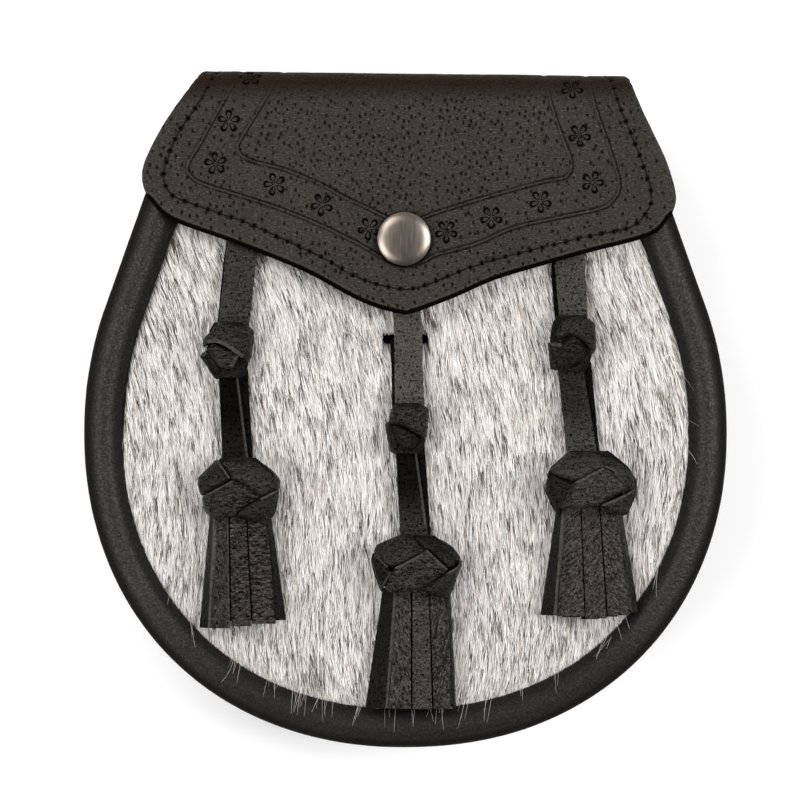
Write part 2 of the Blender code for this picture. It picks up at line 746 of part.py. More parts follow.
def arch(edges, x):
    """How much higher the front layer stands at x than at the sides of the fringe."""
    left, right = edges[0][0], edges[-1][1]
    aside = (2 * x - left - right) / (right - left)
    return FRINGE_ARCH * (1.0 - aside ** 2)


def fringe_shape(tassel):
    """Collar whose lower face carries two layers of strips, all in one skin."""
    top_y = fringe_section(tassel, 0.0)[0]
    collar_part = COLLAR_LENGTH / (top_y - tassel["fringe_end"][1])
    y, edges, (rear, front) = fringe_section(tassel, collar_part)
    columns = [x for pair in edges for x in pair]
    vertices = []
    for base, arched in ((rear, 0.0), (rear + STRIP_THICKNESS, 0.0), (front, 1.0),
                         (front + STRIP_THICKNESS, 1.0)):
        vertices += [(x, y, base + arched * arch(edges, x)) for x in columns]
    count = len(columns)
    levels = len(vertices) // count
    faces = []
    for level in range(levels - 1):
        for column in range(count - 1):
            corner = level * count + column
            quad = (corner, corner + 1, corner + count + 1, corner + count)
            if level % 2 or column % 2:
                faces.append(quad)
            else:
                add_strip(vertices, faces, quad, tassel, (column // 2, level // 2), collar_part)
    border = [here for here, _ in border_edges(levels, count)]
    start = len(vertices)
    vertices += [(vertices[index][0], top_y, vertices[index][2]) for index in border]
    for index, here in enumerate(border):
        after = (index + 1) % len(border)
        faces.append((here, border[after], start + after, start + index))
    faces.append(tuple(start + index for index in range(len(border))))
    return vertices, faces


def add_strip(vertices, faces, quad, tassel, place, collar_part):
    """Draw one strip out of a face of the collar, down to its cut end."""
    strip, layer = place
    sway = STRIP_SWAY * sin(2.4 * strip + 1.7 * layer)
    shorter = (0.0 if layer else REAR_STRIPS_SHORTER) + CUT_UNEVENNESS * (1 + sin(3.1 * strip + layer))
    corners = quad
    for step in range(1, STRIP_STEPS + 1):
        down = step / STRIP_STEPS
        y, edges, bases = fringe_section(tassel, collar_part + (1.0 - collar_part) * down)
        share = (edges[-1][1] - edges[0][0]) / STRIPS
        aside = sway * sin(pi * down) - (0.0 if layer else REAR_STRIPS_ASIDE * share * down)
        ring = []
        lifts = (0.0, 0.0, STRIP_THICKNESS, STRIP_THICKNESS)
        for x, lift in zip(edges[strip] + edges[strip][::-1], lifts):
            rise = arch(edges, x) if layer else 0.0
            ring.append((x + aside, y + shorter * down, bases[layer] + rise + lift))
        start = len(vertices)
        vertices.extend(ring)
        drawn = tuple(range(start, start + 4))
        for side in range(4):
            after = (side + 1) % 4
            faces.append((corners[side], corners[after], drawn[after], drawn[side]))
        corners = drawn
    faces.append(corners)


def add_tassel(name, tassel, material, parent):
    add_piece(f"tassel_{name}_thong", thong_shape(tassel), material, parent)
    small_knot = knot_shape(tassel["small_knot"], tassel["small_knot_size"], SMALL_KNOT_THICKNESS,
                            SMALL_KNOT_PROFILE, SMALL_KNOT_WRAPS, SMALL_KNOT_RELIEF)
    add_piece(f"tassel_{name}_small_knot", small_knot, material, parent, KNOT_SHARP_ANGLE)
    add_piece(f"tassel_{name}_drop", drop_shape(tassel), material, parent)
    head = knot_shape(tassel["head"], tassel["head_size"], HEAD_THICKNESS, HEAD_PROFILE, HEAD_WRAPS,
                      HEAD_RELIEF)
    add_piece(f"tassel_{name}_head", head, material, parent, KNOT_SHARP_ANGLE)
    add_piece(f"tassel_{name}_fringe", fringe_shape(tassel), material, parent)


# ---------------------------------------------------------------- belt loops

def hanger_loop_shape(x):
    """Leather band sewn down at both ends, standing off the back panel between them."""
    sewn_z = BACK_PANEL_Z[0] - GAP - LOOP_THICKNESS / 2
    proud_z = LOOP_LOWEST_Z + LOOP_THICKNESS / 2
    rows = (
        (LOOP_TOP_Y, sewn_z), (LOOP_TOP_Y - LOOP_TAB, sewn_z),
        (LOOP_TOP_Y - LOOP_TAB - LOOP_RISE_LENGTH / 2, (sewn_z + proud_z) / 2),
        (LOOP_TOP_Y - LOOP_TAB - LOOP_RISE_LENGTH, proud_z),
        (LOOP_BOTTOM_Y + LOOP_TAB + LOOP_RISE_LENGTH, proud_z),
        (LOOP_BOTTOM_Y + LOOP_TAB + LOOP_RISE_LENGTH / 2, (sewn_z + proud_z) / 2),
        (LOOP_BOTTOM_Y + LOOP_TAB, sewn_z), (LOOP_BOTTOM_Y, sewn_z),
    )
    return band([Vector((x, y, z)) for y, z in rows], LOOP_WIDTH, LOOP_THICKNESS)


# ---------------------------------------------------------------- assembly

def main():
    for old in list(bpy.data.objects):
        bpy.data.objects.remove(old, do_unlink=True)
    looks = {name: make_material(name) for name in MATERIALS}
    pouch = bpy.data.objects.new("sporran_pouch", None)
    bpy.context.collection.objects.link(pouch)

    add_piece("front_rim", side_shape(front_rim_section()), looks["rim_leather"], pouch)
    add_piece("gusset", side_shape(gusset_section()), looks["rim_leather"], pouch)
    add_piece("back_rim", side_shape(back_rim_section()), looks["rim_leather"], pouch)
    add_piece("back_panel", back_panel_shape(), looks["back_leather"], pouch)
    fur = add_piece("fur_panel", fur_panel_shape(), looks["fur"], pouch)
    slots = []
    for tassel in TASSELS.values():
        slots += [slot_shape(tassel["upper_slot"]), slot_shape(tassel["lower_slot"])]
    cut(fur, "fur_openings", joined(*slots, stud_seat_shape()))
    flap = add_piece("flap", flap_shape(), looks["flap_leather"], pouch)
    cut(flap, "flap_hole", flap_hole_shape())
    add_piece("snap_cap", snap_cap_shape(), looks["nickel"], pouch)
    add_piece("snap_stud", snap_stud_shape(), looks["nickel"], pouch)
    add_piece("hanger_loop_left", hanger_loop_shape(-LOOP_X), looks["back_leather"], pouch)
    add_piece("hanger_loop_right", hanger_loop_shape(LOOP_X), looks["back_leather"], pouch)
    for name, tassel in TASSELS.items():
        add_tassel(name, tassel, looks["tassel_leather"], pouch)


main()
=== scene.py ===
"""Looks of the sporran pouch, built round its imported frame.

The pouch lies on its back: +X runs to the right as its front is seen, +Y up to the fold of the
flap, +Z out of the front. The tables and shapes below are in millimetres, and the meshes are made
in metres.
"""

from math import cos, pi, radians, sin, tan

import bpy
import numpy as np
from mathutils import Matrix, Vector
from mathutils.geometry import delaunay_2d_cdt


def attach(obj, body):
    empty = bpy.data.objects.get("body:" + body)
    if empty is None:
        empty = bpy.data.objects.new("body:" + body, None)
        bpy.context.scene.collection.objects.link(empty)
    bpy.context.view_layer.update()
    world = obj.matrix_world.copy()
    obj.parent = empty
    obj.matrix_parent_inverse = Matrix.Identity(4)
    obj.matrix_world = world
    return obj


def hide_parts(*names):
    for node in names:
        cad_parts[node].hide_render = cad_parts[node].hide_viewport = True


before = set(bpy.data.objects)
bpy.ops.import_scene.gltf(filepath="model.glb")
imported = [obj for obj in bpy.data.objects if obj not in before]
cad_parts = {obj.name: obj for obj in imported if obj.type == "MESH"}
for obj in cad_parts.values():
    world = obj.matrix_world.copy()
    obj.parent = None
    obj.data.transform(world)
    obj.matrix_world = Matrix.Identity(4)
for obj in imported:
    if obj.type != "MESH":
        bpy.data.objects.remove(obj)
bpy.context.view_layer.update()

bl_info = {
    "name": "Sporran Pouch",
    "version": (1, 0, 0),
    "blender": (4, 5, 0),
    "location": "View3D > Sidebar > Sporran",
    "description": "Dresses the frame of a fur-fronted leather sporran pouch",
    "category": "Object",
}

MM = 0.001
BODY = "root"

# Outline of the pouch, seen from the front
HALF_WIDTH = 91.1
WIDEST_Y = -6.0
LOWER_DEPTH = 89.9
LOWER_POWER = 2.15
SHOULDER_RADIUS = 105.0
SHOULDER_SWEEP = 19.5
SLANT_TOP_Y = 72.0
MOUTH_RADIUS = 44.0
MOUTH_SWEEP = 40.0
RIM_STATIONS = 400

# Rims and gusset
DEPTH = 38.0
WALL = 1.8
GAP = 0.3
ROLL_RADIUS = 5.5
RIM_LAP = 4.0
GUSSET_SLOT = 2 * (WALL + GAP)
WAIST = 0.9
FLANGE_REACH = 18.0
FRONT_FLANGE_TOP = 31.1
BACK_FLANGE_BOTTOM = 9.3
ROLL_STEPS = 30
CHANNEL = 0.45                # depth of the groove that the rims' stitches lie in
CHANNEL_HALF_WIDTHS = (0.8, 0.35)     # at its top and at its bottom
CHANNEL_LIFT = 1.7            # of the groove's middle from the end of the rim's lap

# Panels
PANEL_INSET = 2 * ROLL_RADIUS + GAP
BACK_PANEL_Z = (7.0, 9.0)
FUR_UNDERSIDE = 31.4
HIDE_TOP = 32.7
FUR_TOP = 34.6
SLOT_LENGTH = 12.9
SLOT_HEIGHT = 3.0
SLOTS = (                     # x, y of the slots that the thongs pass through
    (-45.4, 62.0), (-45.8, 52.0), (0.0, 33.6), (0.0, 19.9), (46.1, 59.0), (46.4, 49.0),
)

FUR_PATCHES = (               # x and y of the roots, radius and strength of the browner patches
    (6.9, 29.3, 2.6, 2.2), (71.0, 10.0, 4.0, 0.8), (55.0, 17.0, 3.5, 0.8), (-28.0, -48.5, 5.0, 0.9),
    (-26.5, -72.5, 4.0, 0.9), (44.0, -64.0, 3.2, 0.9), (20.0, -16.0, 3.5, 0.9),
)

# Flap
FLAP_THICKNESS = 2.6
FLAP_TOP = 40.9
FOLD_RADIUS = 10.0
BACK_FOLD_RADIUS = 7.0
FOLD_OUTER_Y = 95.2
FOLD_TILT = 0.7
TAIL_Z = 4.1
TAIL_END_Y = 57.0
FLAP_HALF_COLUMNS = 172
FLAP_FRONT_ROWS = 138
FAR = 9.0                     # distance to the tooling that the flap's underside is given
FLAP_LOWER_LEFT = (           # x, y
    (-72.9, 59.6), (-66.4, 53.5), (-49.7, 47.3), (-36.6, 42.2), (-26.7, 37.9),
    (-14.6, 31.3), (-7.2, 28.3), (0.0, 26.6),
)
FLAP_LOWER_RIGHT = (          # x, y
    (0.0, 26.6), (3.9, 27.7), (14.3, 31.7), (25.3, 36.5), (38.9, 40.6), (51.4, 44.1),
    (69.2, 49.0), (75.3, 54.8),
)
FLAP_LEFT_SIDE = (            # x, y
    (-72.9, 59.6), (-74.4, 64.6), (-73.6, 70.1), (-69.2, 79.0), (-64.6, 86.1),
)
FLAP_RIGHT_SIDE = (           # x, y
    (75.3, 54.8), (76.4, 60.3), (73.9, 69.5), (70.0, 78.0), (66.9, 84.4),
)
FLAP_BACK_EDGES = (           # part of the way, left x, right x
    (0.00, -64.6, 66.9), (0.06, -61.2, 65.0), (0.12, -58.8, 63.7), (0.18, -57.9, 63.2),
    (0.50, -53.0, 57.0), (0.68, -50.5, 52.0), (0.92, -50.0, 50.5), (0.98, -48.0, 48.5),
    (1.00, -44.0, 44.5),
)

# Tooling of the flap, as x and y seen from the front, then over the fold as if laid flat
STITCH_LINE = (
    (0.0, 159.0), (-38.0, 159.0), (-44.5, 155.0), (-46.5, 149.0), (-48.5, 126.0), (-52.0, 104.0),
    (-55.6, 91.9), (-59.6, 84.6), (-63.8, 78.7), (-66.6, 72.4), (-68.3, 66.8), (-68.1, 64.0),
    (-66.4, 60.8), (-63.3, 59.1), (-54.8, 56.0), (-44.3, 52.4), (-36.9, 49.0), (-29.3, 45.6),
    (-21.9, 41.9), (-14.6, 37.6), (-8.0, 35.2), (-3.5, 34.2), (0.0, 33.8), (3.0, 34.2), (7.5, 35.7),
    (21.1, 41.0), (37.5, 45.3), (53.9, 49.2), (63.3, 51.2), (67.8, 55.2), (69.5, 59.7),
    (67.8, 66.8), (63.3, 78.7), (59.9, 87.2), (58.0, 95.5), (55.5, 104.0), (52.5, 126.0),
    (47.0, 149.0), (45.0, 155.0), (38.5, 159.0), (0.0, 159.0),
)
TOOLED_LINES = (
    (
        (-39.0, 175.0), (-41.0, 153.0), (-43.2, 126.0), (-45.4, 104.0), (-49.3, 91.1), (-55.0, 80.7),
        (-58.4, 74.4), (-61.3, 69.6), (-61.5, 67.1), (-59.6, 64.8), (-55.0, 62.8), (-44.0, 59.4),
        (-34.1, 56.0), (-24.5, 52.1), (-14.6, 47.3), (-7.2, 43.3), (0.0, 40.6), (5.2, 41.9),
        (8.9, 43.6), (20.0, 46.7), (30.7, 51.2), (44.3, 54.3), (55.0, 56.6), (58.2, 58.6),
        (60.1, 61.4), (60.1, 65.1), (57.9, 72.7), (53.9, 84.1), (52.2, 91.4), (50.5, 104.0),
        (46.5, 126.0), (41.5, 153.0), (39.5, 175.0),
    ),
    (
        (-29.0, 175.0), (-30.5, 153.0), (-32.0, 126.0), (-33.8, 104.0), (-37.6, 92.0), (-41.5, 84.6),
        (-46.8, 75.8), (-47.4, 73.6), (-46.3, 71.6), (-42.9, 69.9), (-34.1, 67.6), (-24.5, 63.7),
        (-17.1, 59.7), (-9.8, 56.3), (-5.8, 54.3), (0.0, 52.4), (5.2, 54.1), (8.9, 55.5),
        (18.8, 58.6), (30.7, 62.0), (38.9, 64.2), (44.9, 65.4), (46.6, 67.4), (46.6, 70.8),
        (44.9, 75.0), (42.0, 83.2), (40.2, 90.4), (38.8, 104.0), (35.5, 126.0), (31.0, 153.0),
        (29.5, 175.0),
    ),
)
FLOWERS = (                   # x, y, direction of one petal in degrees
    (-43.9, 95.0, 95.0), (-49.9, 81.2, 90.0), (-53.6, 69.3, 97.0), (-36.9, 63.4, 106.0),
    (-23.6, 57.7, -97.0), (-10.3, 50.9, -97.0), (11.5, 50.1, -90.0), (24.2, 54.1, -90.0),
    (38.1, 58.6, -88.0), (52.8, 64.0, -75.0), (49.1, 77.3, -87.0), (47.0, 90.9, -85.0),
    (-40.4, 113.0, 80.0), (-37.6, 133.0, 95.0), (43.6, 112.0, 60.0), (39.8, 133.0, 85.0),
)

# Snap
SNAP_CENTER = (-0.4, 48.0)
SNAP_RADIUS = 7.5
SNAP_SEAT = 41.2
SNAP_TOP = 44.4
CLIPPED_RADIUS = 7.0
SOCKET_PROFILE = (            # radius, z of the post and the socket, from the cap down
    (1.8, 38.0), (5.4, 38.0), (5.5, 37.9), (5.5, 35.3), (5.4, 35.2), (2.6, 35.2), (2.6, 36.7),
    (0.02, 36.7),
)
STUD_PROFILE = (              # radius, z
    (0.02, 36.4), (1.8, 36.4), (2.2, 36.2), (2.3, 35.9), (1.3, 34.9), (4.0, 34.9), (4.0, 33.2),
    (1.3, 33.2), (1.3, 31.1), (4.0, 31.1), (4.0, 29.9), (0.02, 29.9),
)

# Tassels
TASSEL_FLOOR = FUR_TOP + GAP
TASSELS = {
    "left": {
        "upper_slot": (-45.4, 62.0), "lower_slot": (-45.8, 52.0), "thong_levels": (46.4, 24.6),
        "small_knot": (-50.0, 16.7), "small_knot_size": (14.2, 15.6),
        "head": (-47.1, -22.6), "head_size": (23.5, 17.8),
    },
    "center": {
        "upper_slot": (0.0, 33.6), "lower_slot": (0.0, 19.9), "thong_levels": (26.3, 1.7),
        "small_knot": (0.6, -5.4), "small_knot_size": (12.6, 14.2),
        "head": (3.0, -44.6), "head_size": (25.2, 17.8),
    },
    "right": {
        "upper_slot": (46.1, 59.0), "lower_slot": (46.4, 49.0), "thong_levels": (41.0, 26.6),
        "small_knot": (46.9, 18.7), "small_knot_size": (14.2, 15.6),
        "head": (52.0, -20.9), "head_size": (25.8, 18.2),
    },
}
THONG_THICKNESS = 1.3
SMALL_KNOT_THICKNESS = 8.6
HEAD_THICKNESS = 13.0
SMALL_KNOT_PROFILE = ((0.0, 0.66), (0.14, 0.88), (0.38, 1.0), (0.66, 0.98), (0.88, 0.84), (1.0, 0.62))
HEAD_PROFILE = (
    (0.0, 0.44), (0.12, 0.64), (0.28, 0.90), (0.42, 1.0), (0.60, 0.96), (0.80, 0.84), (0.93, 0.75),
    (1.0, 0.66),
)
KNOT_POWER = 2.6
CORE_RISE = 0.30              # height of a knot's core over its middle, against the knot's own
HEAD_OPENING = 2.3            # height of the bands' lower ends below the core of a head
BAND_THICKNESS = 1.6
BAND_SPACING = 0.40           # between the points of a band
BAND_LIFTS = {                # lift of the lowest band, more for each band on it, width of a cut edge
    "small_knot": (-1.5, 0.95, 1.1),
    "head": (-1.3, 0.55, 0.62),
}
HEAD_BANDS = {                # corners that start a cut edge, then x, y of each; later bands lie higher
    "left": (
        ((), (
            (-52.9, -14.4), (-50.2, -14.1), (-43.3, -14.4), (-41.3, -14.8), (-38.6, -16.4), (-36.4, -18.5),
            (-35.3, -20.3), (-35.6, -22.9), (-40.4, -25.2), (-43.7, -22.8), (-46.5, -20.9), (-49.3, -19.8),
        )),
        ((0,), (
            (-57.4, -24.6), (-48.5, -19.9), (-45.8, -20.9), (-43.3, -22.7), (-40.6, -24.9), (-44.0, -27.0),
            (-46.5, -29.2), (-48.4, -30.1), (-50.2, -30.6), (-53.8, -30.9), (-55.2, -30.3), (-56.7, -29.0),
            (-57.2, -26.8),
        )),
        ((0,), (
            (-53.2, -14.0), (-49.1, -19.7), (-57.4, -24.7), (-58.3, -23.2), (-58.7, -20.7), (-58.5, -19.3),
        )),
        ((0,), (
            (-40.8, -25.1), (-35.5, -22.4), (-35.7, -24.3), (-36.5, -29.0), (-37.8, -31.1), (-40.8, -31.9),
            (-43.7, -31.7), (-46.5, -30.5), (-47.5, -29.4), (-44.7, -27.3),
        )),
    ),
    "center": (
        ((1, 3, 4), (
            (-9.8, -42.6), (-9.2, -40.3), (-4.9, -44.2), (-3.8, -45.6), (-4.3, -47.0), (-6.4, -50.4),
            (-6.0, -51.9), (-6.9, -51.8), (-8.3, -48.1), (-9.3, -45.2),
        )),
        ((), (
            (1.6, -35.6), (7.3, -36.0), (10.2, -36.9), (13.2, -38.7), (15.2, -41.3), (15.7, -42.6),
            (14.6, -44.8), (12.0, -45.9), (6.8, -40.1), (5.2, -39.5),
        )),
        ((), (
            (-8.2, -38.4), (-4.6, -36.7), (-1.5, -35.4), (1.9, -35.8), (5.4, -39.5), (4.8, -40.7),
            (-3.1, -44.8), (-5.1, -44.3), (-9.1, -40.5),
        )),
        ((0, 2), (
            (-3.1, -44.7), (5.0, -40.4), (5.6, -39.2), (12.2, -45.3), (8.8, -48.2), (4.5, -50.9),
            (1.6, -51.5), (-3.1, -51.9), (-5.8, -51.1), (-4.4, -47.0), (-3.8, -45.5),
        )),
        ((0, 1), (
            (11.9, -45.9), (14.6, -44.5), (15.9, -42.1), (15.8, -44.4), (14.6, -47.3), (13.8, -50.2),
            (12.9, -52.1), (11.7, -53.3), (8.8, -52.9), (4.5, -50.9), (8.8, -48.1),
        )),
    ),
    "right": (
        ((3, 4), (
            (39.7, -20.1), (41.0, -17.8), (46.7, -20.1), (48.1, -20.5), (46.4, -23.8), (44.1, -28.2),
            (42.9, -30.2), (41.0, -27.0), (39.4, -23.2),
        )),
        ((6, 7), (
            (53.7, -12.6), (58.9, -13.8), (62.6, -16.2), (65.0, -19.5), (65.3, -22.2), (65.0, -24.4),
            (61.5, -24.4), (58.6, -17.4), (55.9, -16.3),
        )),
        ((), (
            (40.5, -16.9), (43.3, -14.3), (46.0, -11.9), (50.3, -12.1), (54.6, -12.8), (56.2, -15.8),
            (56.0, -16.6), (47.9, -20.7), (46.5, -20.2), (41.7, -18.4),
        )),
        ((0,), (
            (47.6, -20.6), (55.9, -16.2), (58.3, -17.8), (62.9, -22.2), (59.6, -24.2), (54.9, -27.2),
            (49.7, -28.1), (44.8, -27.7), (44.1, -28.2), (46.2, -23.8),
        )),
        ((0, 1), (
            (64.7, -22.3), (62.7, -23.7), (54.9, -27.1), (56.5, -28.7), (61.1, -30.1), (62.7, -29.8),
            (64.5, -25.6), (65.3, -23.2),
        )),
    ),
}
SMALL_KNOT_BANDS = {          # the same for the small knots
    "left": (
        ((0,), (
            (-58.2, 15.1), (-56.4, 16.6), (-55.7, 16.7), (-51.8, 12.2), (-51.8, 9.9), (-52.7, 8.4),
            (-53.8, 8.4), (-55.4, 10.8),
        )),
        ((3,), (
            (-56.4, 17.4), (-54.4, 18.8), (-49.6, 16.6), (-46.6, 15.7), (-49.1, 11.2), (-51.8, 10.8),
            (-55.2, 15.1),
        )),
        ((8, 9, 10), (
            (-52.9, 24.6), (-50.9, 24.9), (-44.3, 23.5), (-42.8, 22.2), (-42.8, 19.1), (-43.4, 15.7),
            (-43.6, 14.2), (-44.7, 12.9), (-46.3, 14.5), (-50.3, 17.4), (-53.3, 18.8), (-55.5, 18.7),
            (-57.0, 17.0), (-57.4, 18.8), (-56.9, 20.2), (-54.9, 21.9), (-53.8, 23.4),
        )),
    ),
    "center": (
        ((0,), (
            (-5.9, -3.9), (-4.7, -3.5), (-3.1, -4.6), (-1.5, -8.1), (-2.1, -12.8), (-3.1, -12.8),
            (-4.3, -12.1), (-5.2, -8.1),
        )),
        ((), (
            (-3.9, -4.4), (-1.6, -4.6), (2.9, -7.0), (4.0, -7.8), (2.5, -11.4), (-0.3, -11.7), (-3.1, -8.1),
        )),
        ((), (
            (-3.6, 1.1), (0.7, 1.5), (4.9, 1.1), (6.6, 0.2), (6.6, -1.6), (6.4, -4.9), (5.9, -7.8),
            (5.4, -8.8), (3.9, -7.5), (-0.3, -5.1), (-2.3, -4.5), (-4.0, -4.4), (-4.6, -3.3), (-4.2, -1.0),
        )),
    ),
    "right": (
        ((0,), (
            (40.1, 18.9), (43.8, 18.6), (45.1, 19.1), (46.4, 21.4), (48.6, 20.6), (51.6, 17.0),
            (51.2, 15.0), (49.8, 13.0), (46.5, 10.6), (41.0, 11.1),
        )),
        ((), (
            (43.8, 25.3), (46.5, 26.4), (49.5, 26.4), (52.4, 25.3), (53.6, 24.0), (53.8, 21.0),
            (53.9, 16.9), (52.7, 15.2), (52.0, 16.9), (51.0, 18.3), (48.6, 20.0), (46.8, 20.9),
            (45.3, 20.6), (43.8, 19.5), (42.3, 20.1), (42.3, 21.6),
        )),
    ),
}
FRINGE_STRIPS = {
    # left and right x under the knot, left and right x and y at the end, width of the raw right
    # edge, tilt, then how creased, how light, and the turn of the grain in degrees
    "left": (
        (-55.6, -54.3, -58.4, -55.6, -61.8, 0.45, -1, 0.1, 0.55, 0.0),
        (-54.1, -50.1, -54.6, -49.6, -61.9, 0.35, 0, 0.6, 1.05, 65.0),
        (-49.6, -45.0, -49.1, -43.5, -61.3, 0.0, 0, 0.95, 2.0, 0.0),
        (-44.5, -39.0, -43.1, -36.6, -60.6, 0.0, 0, 0.95, 2.1, 0.0),
        (-38.8, -37.7, -36.3, -33.6, -59.6, 0.0, 1, 0.1, 0.35, 0.0),
    ),
    "center": (
        (-7.0, -3.1, -11.5, -5.3, -84.4, 0.55, -1, 0.05, 0.35, 0.0),
        (-2.7, 1.5, -4.7, 1.5, -84.6, 0.0, 0, 0.85, 2.1, 70.0),
        (2.0, 6.6, 2.0, 7.5, -84.7, 0.0, 0, 0.4, 1.8, 0.0),
        (7.0, 12.0, 8.0, 13.3, -84.6, 0.0, 0, 0.85, 2.0, 110.0),
        (12.1, 12.9, 13.5, 14.4, -84.0, 0.0, 1, 0.1, 0.4, 0.0),
    ),
    "right": (
        (42.2, 44.2, 38.0, 42.2, -58.2, 0.55, -1, 0.05, 0.45, 0.0),
        (44.8, 49.4, 43.0, 50.5, -58.5, 0.0, 0, 0.7, 2.0, 130.0),
        (49.8, 54.8, 50.9, 56.8, -59.1, 0.0, 0, 0.65, 2.1, 130.0),
        (55.2, 60.2, 57.2, 63.2, -58.2, 0.0, 0, 0.7, 2.1, 50.0),
        (60.4, 61.7, 63.7, 66.3, -57.4, 0.6, 1, 0.1, 0.9, 0.0),
    ),
}
FRINGE_SIDE_HEIGHT = 1.9      # of the outermost edges of a fringe
FRINGE_TUCK = 3.0             # how far the strips reach up under the knot
FRINGE_LOWER_ENDS = {         # y where the strips of the lower layer end
    "left": (-60.3, -60.0, -60.3, -59.6, -58.8),
    "center": (-83.0, -84.9, -85.0, -84.9, -83.6),
    "right": (-57.2, -58.9, -59.4, -58.7, -56.8),
}
# painted shade: the lower layers of the straps, under the upper ones, are given a very dark tone
PAINTED_SHADE_LOWER_TEXTURE = (0.1, 0.12, 0.0)
STRAP_TEXTURE = (0.25, 1.0, 0.0)
PALE_TEXTURE = (0.12, 2.7, 0.0)
THONG_TEXTURES = {"left": STRAP_TEXTURE, "center": PALE_TEXTURE, "right": (0.15, 1.5, 0.0)}
# the lightness of each band is partly the leather's own tone and partly painted light and shade: bands on top
# lighter, bands turned away darker
SMALL_KNOT_TEXTURES = {       # how creased and how light each band is
    "left": ((0.45, 0.4), (0.8, 1.0), (0.5, 0.8)),
    "center": ((0.45, 0.5), (0.6, 0.6), (0.45, 0.8)),
    "right": ((0.6, 0.6), (0.4, 0.75)),
}
HEAD_TEXTURES = {             # the same for the head knots
    "left": ((0.5, 1.0), (0.85, 1.15), (0.2, 0.6), (0.35, 0.7)),
    "center": ((0.1, 0.35), (0.1, 0.45), (0.45, 0.85), (0.85, 1.35), (0.4, 0.7)),
    "right": ((0.1, 0.4), (0.1, 0.7), (0.4, 1.1), (0.6, 1.6), (0.5, 0.9)),
}
CORE_TEXTURE = (0.3, 0.4)
CORE_SIDES = 32
KNOTS = {                     # thickness, profile, bands, textures, the core's opening and share, seed
    "small_knot": (SMALL_KNOT_THICKNESS, SMALL_KNOT_PROFILE, SMALL_KNOT_BANDS, SMALL_KNOT_TEXTURES,
                   0.0, 0.86, 1),
    "head": (HEAD_THICKNESS, HEAD_PROFILE, HEAD_BANDS, HEAD_TEXTURES, HEAD_OPENING, 0.94, 41),
}
DROP_EDGES = {                # left and right x at the small knot and at the head, of each layer
    "left": ((-52.6, -47.5, -51.8, -44.1), (-50.2, -44.7, -49.7, -43.0)),
    "center": ((-2.6, 3.0, -1.4, 6.8), (-0.4, 5.4, 0.7, 7.4)),
    "right": ((42.8, 50.0, 45.9, 54.5), (44.9, 52.5, 47.4, 55.1)),
}
# painted shade along the drop's upper layer, which is darker towards the small knot, where it curves away
# from the light
DROP_PAINTED_SHADE = {                # lightness of the upper layer at the small knot and at the head
    "left": (0.10, 0.34),
    "center": (0.14, 0.90),
    "right": (0.55, 1.45),
}
THONG_EDGES = {               # left and right x under the flap and at the small knot, of each layer
    "left": ((-50.6, -41.7, -52.8, -44.1), (-51.1, -42.2, -53.2, -44.6)),
    "center": ((-3.3, 4.6, -3.0, 5.1), (-4.1, 4.3, -3.8, 5.3)),
    "right": ((42.2, 50.7, 43.4, 51.5), (40.9, 50.0, 42.2, 51.0)),
}

# Belt loops
LOOP_X = 33.0
LOOP_WIDTH = 16.0
LOOP_THICKNESS = 1.6
LOOP_PATH = (                 # y, z of the middle of the band
    (50.0, 5.9), (44.0, 5.9), (42.0, 3.6), (40.0, 1.3), (24.0, 1.3), (22.0, 3.6), (20.0, 5.9),
    (14.0, 5.9),
)

# Stage, in metres
FLOOR_REACH = 6.0
LIT_POINT = (0.0, 0.0, 0.03)
LIGHTS = (                    # name, place, size, power
    ("lower_left", (-0.90, -0.34, 1.15), 0.80, 13.0),
    ("upper_left", (-0.65, 0.70, 1.25), 0.70, 9.0),
    ("right", (1.00, 0.15, 1.20), 0.80, 20.0),
)
CAMERA_DISTANCE = 2.0
CAMERA_AIM = (-0.00156, 0.00255)
FOCUS_LEVEL = 0.036
SEEN_WIDTH = 0.2264


# ---------------------------------------------------------------- settings

class SporranSizes(bpy.types.PropertyGroup):
    hair_length: bpy.props.FloatProperty(
        name="Hair length", description="Length of the pile", default=0.0078, min=0.002, max=0.02,
        unit="LENGTH", precision=4)
    hair_width: bpy.props.FloatProperty(
        name="Hair width", description="Width of a hair bundle", default=0.00016, min=0.0001,
        max=0.001, unit="LENGTH", precision=5)
    hair_spacing: bpy.props.FloatProperty(
        name="Hair spacing", description="Distance between the roots", default=0.00033, min=0.0003,
        max=0.003, unit="LENGTH", precision=5)
    stitch_pitch: bpy.props.FloatProperty(
        name="Stitch pitch", description="Distance between stitch holes", default=0.0035,
        min=0.002, max=0.01, unit="LENGTH", precision=4)
    thread_radius: bpy.props.FloatProperty(
        name="Thread radius", description="Radius of the sewing thread", default=0.00022,
        min=0.0001, max=0.001, unit="LENGTH", precision=5)
    pore_spacing: bpy.props.FloatProperty(
        name="Pore spacing", description="Distance between the pores of the flap's leather",
        default=0.0024, min=0.001, max=0.01, unit="LENGTH", precision=4)


